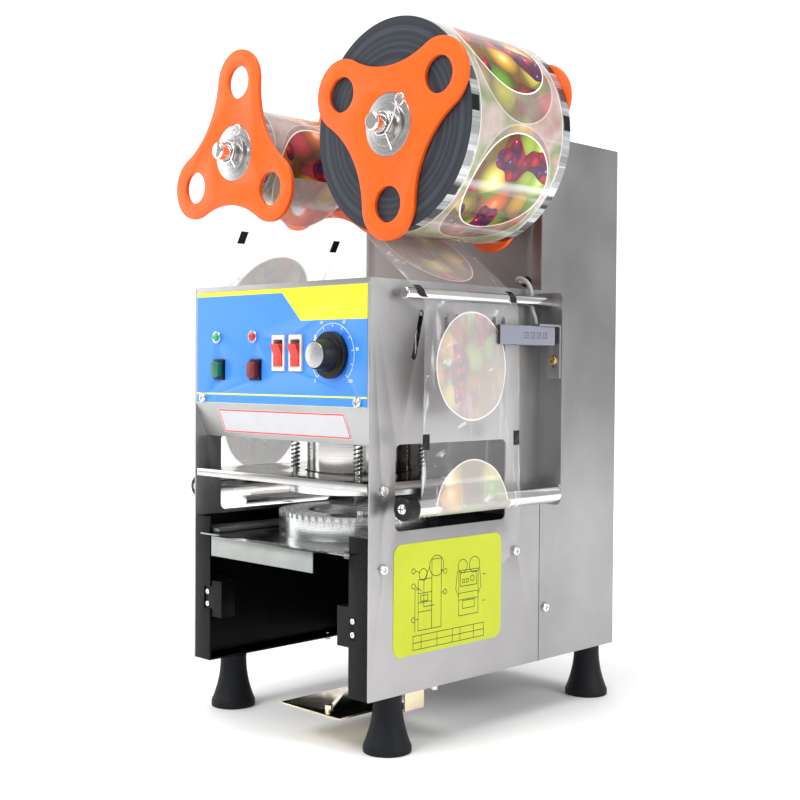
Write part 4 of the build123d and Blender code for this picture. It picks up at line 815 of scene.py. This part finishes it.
# ---------------------------------------------------------------- springs
def springs():
    """Four coil springs of fixed length, carried with the carriage that closes on the press plate."""
    low, high = (Vector(c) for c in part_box("press_springs"))
    wire = 0.75 * MM
    radius = 4.5 * MM - wire
    turns = 15
    bm = bmesh.new()
    for x in (low.x + 4.5 * MM, high.x - 4.5 * MM):
        for y in (low.y + 4.5 * MM, high.y - 4.5 * MM):
            sides, steps = 8, turns * 20
            before = None
            for k in range(steps + 1):
                t = k / steps
                a = 2 * math.pi * turns * t
                z = low.z + wire + (high.z - low.z - 2 * wire) * t
                out = Vector((math.cos(a), math.sin(a), 0))
                ring = []
                for s in range(sides):
                    b = 2 * math.pi * s / sides
                    offset = out * (radius + wire * math.cos(b)) + Vector((0, 0, wire * math.sin(b)))
                    ring.append(bm.verts.new(Vector((x, y, z)) + offset))
                if before:
                    for s in range(sides):
                        bm.faces.new((before[s], before[(s + 1) % sides], ring[(s + 1) % sides], ring[s]))
                else:
                    bm.faces.new(ring)
                before = ring
            bm.faces.new(before)
    piece = from_bmesh("coil_springs", bm, SPRING, "carriage", 60)
    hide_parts("press_springs")
    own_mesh(piece)


# ---------------------------------------------------------------- labels
def strokes(name, lines, width, place, material, body="housing"):
    """Printed lines: polylines in a plane, each segment a thin flat bar; place lifts a point."""
    bm = bmesh.new()
    for line in lines:
        for (a0, b0), (a1, b1) in zip(line, line[1:]):
            length = math.hypot(a1 - a0, b1 - b0)
            if length == 0:
                continue
            da, db = (a1 - a0) / length * width / 2, (b1 - b0) / length * width / 2
            corners = ((a0 - da - db, b0 - db + da), (a1 + da - db, b1 + db + da),
                       (a1 + da + db, b1 + db - da), (a0 - da + db, b0 - db - da))
            bm.faces.new([bm.verts.new(place(a * MM, b * MM)) for a, b in corners])
    mesh = bpy.data.meshes.new(name)
    bm.to_mesh(mesh)
    bm.free()
    return new_piece(name, mesh, material, body)


def rectangle(a, b, width, height):
    return [(a, b), (a + width, b), (a + width, b + height), (a, b + height), (a, b)]


def circle(a, b, radius, start=0, stop=360, step=15):
    return [(a + radius * math.cos(math.radians(t)), b + radius * math.sin(math.radians(t)))
            for t in range(start, stop + 1, step)]


def chart_drawing():
    """A generic threading chart: the machine from the side and from the front, and a table."""
    lines = [rectangle(-40, -28, 17, 44), rectangle(-23, -28, 12, 60)]
    lines += [circle(-17, 26, 9), circle(-34, 20, 5)]
    lines += [[(-40, b), (-23, b)] for b in (4, -4, -12)] + [rectangle(-37, -3, 9, 5)]
    lines += [[(-26, 26), (-33, 14), (-33, -8), (-20, -8)], [(-44, -28), (-44, 8), (-40, 8)]]
    callouts = ((-46, 24), (-46, 11), (-46, -18), (-6, 20), (-6, 2))
    lines += [circle(a, b, 2.2, 0, 360, 30) for a, b in callouts]
    lines += [[(-43.8, 24), (-38, 22)], [(-43.8, 11), (-36, 6)], [(-43.8, -18), (-40, -18)],
              [(-8.2, 20), (-12, 22)], [(-8.2, 2), (-11, 2)]]
    lines += [rectangle(12, -22, 26, 40), rectangle(14, 4, 22, 12)]
    lines += [circle(17, 22, 6), circle(33, 22, 7), circle(30, 10, 2.5, 0, 360, 30)]
    lines += [[(12, b), (38, b)] for b in (-2, -8)] + [rectangle(17, -16, 16, 7)]
    lines += [[(10, 18), (8, 2), (12, -5)], [(40, 18), (42, 2), (38, -5)]]
    lines += [rectangle(17, 7, 3, 3), rectangle(22, 7, 3, 3), [(44, 12), (48, 12)], [(44, -12), (48, -12)]]
    lines += [rectangle(-46, -44, 92, 12), [(-46, -38), (46, -38)]]
    lines += [[(a, -44), (a, -32)] for a in (-36, -16, 4, 14, 32)]
    return lines


DIAL_RADIUS = 27.0          # the scale round the knob, in millimetres
DIAL_TICK = 24.2            # inner end of its ticks
DIAL_NUMBER = 31.0          # middle of its numbers
DIAL_STEP = 27              # degrees from tick to tick


def dial_drawing(x, z):
    """The knob's scale: an arc with a tick at every tenth."""
    lines = [circle(x, z, DIAL_RADIUS, -45, 225, 6)]
    for k in range(11):
        t = math.radians(225 - DIAL_STEP * k)
        lines.append([(x + r * math.cos(t), z + r * math.sin(t)) for r in (DIAL_TICK, DIAL_RADIUS)])
    return lines


def dial_numbers(x, z, face_y):
    """Every second ten from 0 to 100, round the scale."""
    for k in range(0, 11, 2):
        t = math.radians(225 - DIAL_STEP * k)
        curve = bpy.data.curves.new("dial_number", "FONT")
        curve.body = str(10 * k)
        curve.size = 4.2 * MM
        curve.align_x = "CENTER"
        curve.align_y = "CENTER"
        holder = bpy.data.objects.new("dial_number", curve)
        mesh = bpy.data.meshes.new_from_object(holder)
        bpy.data.objects.remove(holder)
        across = (x + DIAL_NUMBER * math.cos(t)) * MM
        up = (z + DIAL_NUMBER * math.sin(t)) * MM
        upright = Matrix.Rotation(math.radians(90), 4, "X")
        mesh.transform(Matrix.Translation((across, face_y, up)) @ upright)
        new_piece(f"dial_number_{10 * k}", mesh, INK_WHITE, "housing")


def labels():
    """Printed panel, caution plate and loading chart."""
    def is_panel(_, s):
        return s.z > 90 * MM and s.x > 100 * MM

    def is_chart(_, s):
        return s.y > 50 * MM

    panel = part_of("labels", 0.1, panel_print(), is_panel, "panel_overlay", 1)
    chart = part_of("labels", 0.1, CHART_YELLOW, is_chart, "loading_chart", 1)
    bm = only("labels", lambda c, s: not is_panel(c, s) and not is_chart(c, s))
    low, high = extent(bm.verts)
    material = caution_print((low + high) / 2, high.x - low.x, high.z - low.z)
    caution = soften("labels", 0.1 * MM, material, 1, False, bm)
    caution.name = "caution_plate"
    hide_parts("labels")
    chart_low, chart_high = extent(chart.data.vertices)
    centre = (chart_low + chart_high) / 2

    def on_chart(a, b):
        return chart_high.x + PROUD, centre.y + a, centre.z + b

    strokes("chart_lines", chart_drawing(), 0.6, on_chart, BLACK_INK_AND_SHADE)
    face_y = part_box("labels")[0][1] - PROUD
    dial = middle("knob") / MM
    strokes("dial_lines", dial_drawing(dial.x, dial.z), 0.6, lambda a, b: (a, face_y, b), INK_WHITE)
    dial_numbers(dial.x, dial.z, face_y)


# ---------------------------------------------------------------- controls
def lamps():
    """Two lamps in bright bezels, green on the left."""
    def is_bezel(_, s):
        return s.y < 5 * MM

    bezel = part_of("lamps", 0.5, CHROME, is_bezel, "lamp_bezels", 3)
    half = middle("lamps").x
    green = plastic("green_lens", (0.02, 0.42, 0.10), 0.12, 0.01)
    red = plastic("red_lens", (0.70, 0.02, 0.02), 0.12, 0.01)
    part_of("lamps", 0.3, green, lambda c, s: not is_bezel(c, s) and c.x < half, "green_lamp")
    part_of("lamps", 0.3, red, lambda c, s: not is_bezel(c, s) and c.x > half, "red_lamp")
    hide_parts("lamps")


def switch_frames():
    """Black frames round the buttons, white ones round the rockers."""
    def is_rocker(_, s):
        return s.z > 25 * MM

    black = part_of("switch_frames", 0.4, BLACK_PLASTIC, lambda c, s: not is_rocker(c, s))
    part_of("switch_frames", 0.6, WHITE_PLASTIC, is_rocker, "rocker_frames")
    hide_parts("switch_frames")


def knob():
    """Black knob with a turned cap and a short white pointer."""
    body = part_of("knob", 0.6, BLACK_PLASTIC, lambda c, s: s.y > 3 * MM, None, 3)
    cap_metal = turned("knob_cap_metal", (0.60, 0.60, 0.61), 0.25, True, middle("knob"))
    part_of("knob", 0.3, cap_metal, lambda c, s: s.y < 3 * MM, "knob_cap")
    centre = middle("knob") / MM
    face_y = extent(body.data.vertices)[0].y - PROUD
    pointer = [[(centre.x, centre.z + 12.0), (centre.x, centre.z + 16.0)]]
    strokes("knob_pointer", pointer, 1.3, lambda a, b: (a, face_y, b), INK_WHITE, "knob")
    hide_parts("knob")


def electronics():
    """The green board and the dark parts that stand on it."""
    def is_board(_, s):
        return s.x > 100 * MM

    board = part_of("control_board", 0.2, BOARD, is_board, None, 1)
    part_of("control_board", 0.5, MOTOR, lambda c, s: not is_board(c, s), "board_parts")
    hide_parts("control_board")


# ---------------------------------------------------------------- sensor and cable
def sensor():
    """Grey sensor with a dark jaw at its front and four small printed marks."""
    piece = soften("film_sensor", 0.5 * MM, SENSOR_GREY)
    piece.data.materials.append(SENSOR_DARK)
    low, high = (Vector(c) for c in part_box("film_sensor"))
    for face in piece.data.polygons:
        if face.center.y < low.y + 27 * MM:
            face.material_index = 1
    y, z = (low.y + high.y) / 2 / MM + 12, (low.z + high.z) / 2 / MM
    marks = [rectangle(y - 17 + 9 * k, z - 2.5, 5, 5) for k in range(4)]
    marks += [[(y - 15 + 9 * k, z - 1), (y - 13 + 9 * k, z + 1)] for k in range(4)]
    strokes("sensor_marks", marks, 0.5, lambda a, b: (high.x + PROUD, a, b), BLACK_INK_AND_SHADE)


CABLE_POINTS = [
    (101.0, 225.0, 411.0), (101.0, 213.5, 411.0), (104.6, 206.6, 411.8), (110.8, 202.4, 412.8),
    (118.2, 201.8, 410.9), (123.6, 202.4, 405.1), (124.9, 203.4, 397.4), (123.8, 204.5, 388.8),
    (125.0, 205.6, 380.4), (127.8, 206.5, 373.6), (127.8, 206.5, 367.0),
]


def cable():
    """The sensor's short grey lead, from the column's hole to the sensor."""
    back = middle("bulkhead").y - span("bulkhead").y / 2
    shift = back - CABLE_POINTS[0][1] * MM
    curve = bpy.data.curves.new("sensor_lead", "CURVE")
    curve.dimensions = "3D"
    curve.bevel_depth = 2.1 * MM
    curve.bevel_resolution = 6
    curve.resolution_u = 16
    curve.use_fill_caps = True
    spline = curve.splines.new("NURBS")
    spline.points.add(len(CABLE_POINTS) - 1)
    for target, (x, y, z) in zip(spline.points, CABLE_POINTS):
        target.co = (x * MM, y * MM + shift, z * MM, 1)
    spline.order_u = 3
    spline.use_endpoint_u = True
    lead = bpy.data.objects.new("sensor_lead", curve)
    bpy.context.scene.collection.objects.link(lead)
    curve.materials.append(CABLE_GREY)
    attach(lead, "housing")
    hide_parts("sensor_cable")
    x, y, z = CABLE_POINTS[0]


# ---------------------------------------------------------------- stage, light and camera
def stage():
    """A pale seamless sweep: a floor that curves up into a wall far behind."""
    bm = bmesh.new()
    g = Graph("pale_sweep")
    tone = g.noise(g.place(), 3.0, 2.0)
    x, y, _ = g.xyz(g.place())
    away = g.calc("SQRT", g.calc("ADD", g.calc("MULTIPLY", x, x), g.calc("MULTIPLY", y, y)))
    glow = g.spread(away, 0.42, 1.3, 0.0, 0.42)
    g.put(g.shader.inputs["Emission Color"], (1, 1, 1, 1))
    pale = g.mix(tone, (0.95, 0.95, 0.95, 1), (0.92, 0.92, 0.92, 1))
    material = g.finish(pale, 0.65, Emission_Strength=glow)
    half, back, bend, wall = 5.0, 4.0, 1.5, 6.0
    profile = [(-5.0, 0.0), (back, 0.0)]
    profile += [(back + bend * math.sin(a), bend - bend * math.cos(a))
                for a in (math.pi / 2 * k / 12 for k in range(1, 13))]
    profile.append((back + bend, wall))
    along = Vector((-0.70, 0.71, 0)).normalized()
    across = Vector((along.y, -along.x, 0))
    rows = [[bm.verts.new(along * d + across * s * half * 2 + Vector((0, 0, z - 0.0002))) for s in (-1, 1)]
            for d, z in profile]
    for a, b in zip(rows, rows[1:]):
        bm.faces.new((a[0], a[1], b[1], b[0]))
    mesh = bpy.data.meshes.new("sweep")
    bm.to_mesh(mesh)
    bm.free()
    mesh.shade_smooth()
    mesh.materials.append(material)
    sweep = bpy.data.objects.new("sweep", mesh)
    bpy.context.scene.collection.objects.link(sweep)


def area_light(name, place, target, size, power, colour=(1, 1, 1)):
    data = bpy.data.lights.new(name, "AREA")
    data.shape = "RECTANGLE"
    data.size, data.size_y = size
    data.energy = power
    data.color = colour
    light = bpy.data.objects.new(name, data)
    light.location = place
    light.rotation_mode = "QUATERNION"
    light.rotation_quaternion = (Vector(target) - Vector(place)).to_track_quat("-Z", "Y")
    bpy.context.scene.collection.objects.link(light)


def lighting():
    """Soft white surroundings and four large lamps."""
    world = bpy.data.worlds.new("studio")
    bpy.context.scene.world = world
    world.use_nodes = True
    background = world.node_tree.nodes["Background"]
    background.inputs["Color"].default_value = (1, 1, 1, 1)
    background.inputs["Strength"].default_value = 0.50
    area_light("key", (-0.2, -2.2, 2.0), (0, 0, 0.3), (1.4, 1.0), 52)
    area_light("side", (2.4, 0.4, 1.2), (0, 0, 0.3), (1.2, 1.8), 28)
    area_light("top", (0.1, -0.1, 2.6), (0, 0, 0.2), (2.0, 2.0), 40)
    area_light("left", (-2.2, -1.2, 1.0), (0, 0, 0.3), (0.8, 1.8), 12)
    view = bpy.context.scene.view_settings
    view.view_transform = "Standard"
    view.look = "None"
    view.exposure = 0.0


def camera():
    """Eye level with the film sensor, to the right of the front, with a long lens."""
    yaw, pitch, roll = (math.radians(a) for a in (44.564, -1.328, 0.416))
    forward = Vector((-math.sin(yaw) * math.cos(pitch), math.cos(yaw) * math.cos(pitch), math.sin(pitch)))
    right = forward.cross(Vector((0, 0, 1))).normalized()
    up = right.cross(forward)
    rolled_right = right * math.cos(roll) + up * math.sin(roll)
    rolled_up = up * math.cos(roll) - right * math.sin(roll)
    data = bpy.data.cameras.new("camera")
    data.sensor_width = 36.0
    data.lens = 57.35
    eye = bpy.data.objects.new("camera", data)
    turn = Matrix((rolled_right, rolled_up, -forward)).transposed().to_4x4()
    place = Vector((0.87253, FRONT_Y - 0.72916, 0.32540))
    eye.matrix_world = Matrix.Translation(place) @ turn
    bpy.context.scene.collection.objects.link(eye)
    bpy.context.scene.camera = eye


camera()
lighting()
stage()
plain_nodes()
bulkhead()
seams()
screws()
spindles()
film_web()
wound_roll("supply_film", "supply_roll", SUPPLY, SUPPLY_RADIUS, "supply_reel", 71.5 * MM)
wound_roll("takeup_film", "takeup_roll", TAKEUP, TAKEUP_RADIUS, "takeup_reel", -19 * MM)
lock("supply_lock", WASHER_S, "supply_reel", SUPPLY, (SUPPLY.x + 22 * MM, SUPPLY.z + 17 * MM),
     (SUPPLY.x + 15 * MM, SUPPLY.z - 26 * MM))
lock("takeup_lock", WASHER_T, "takeup_reel", TAKEUP, (TAKEUP.x + 16 * MM, TAKEUP.z + 19 * MM),
     (TAKEUP.x + 15 * MM, TAKEUP.z - 18 * MM))
springs()
labels()
lamps()
switch_frames()
knob()
electronics()
sensor()
cable()
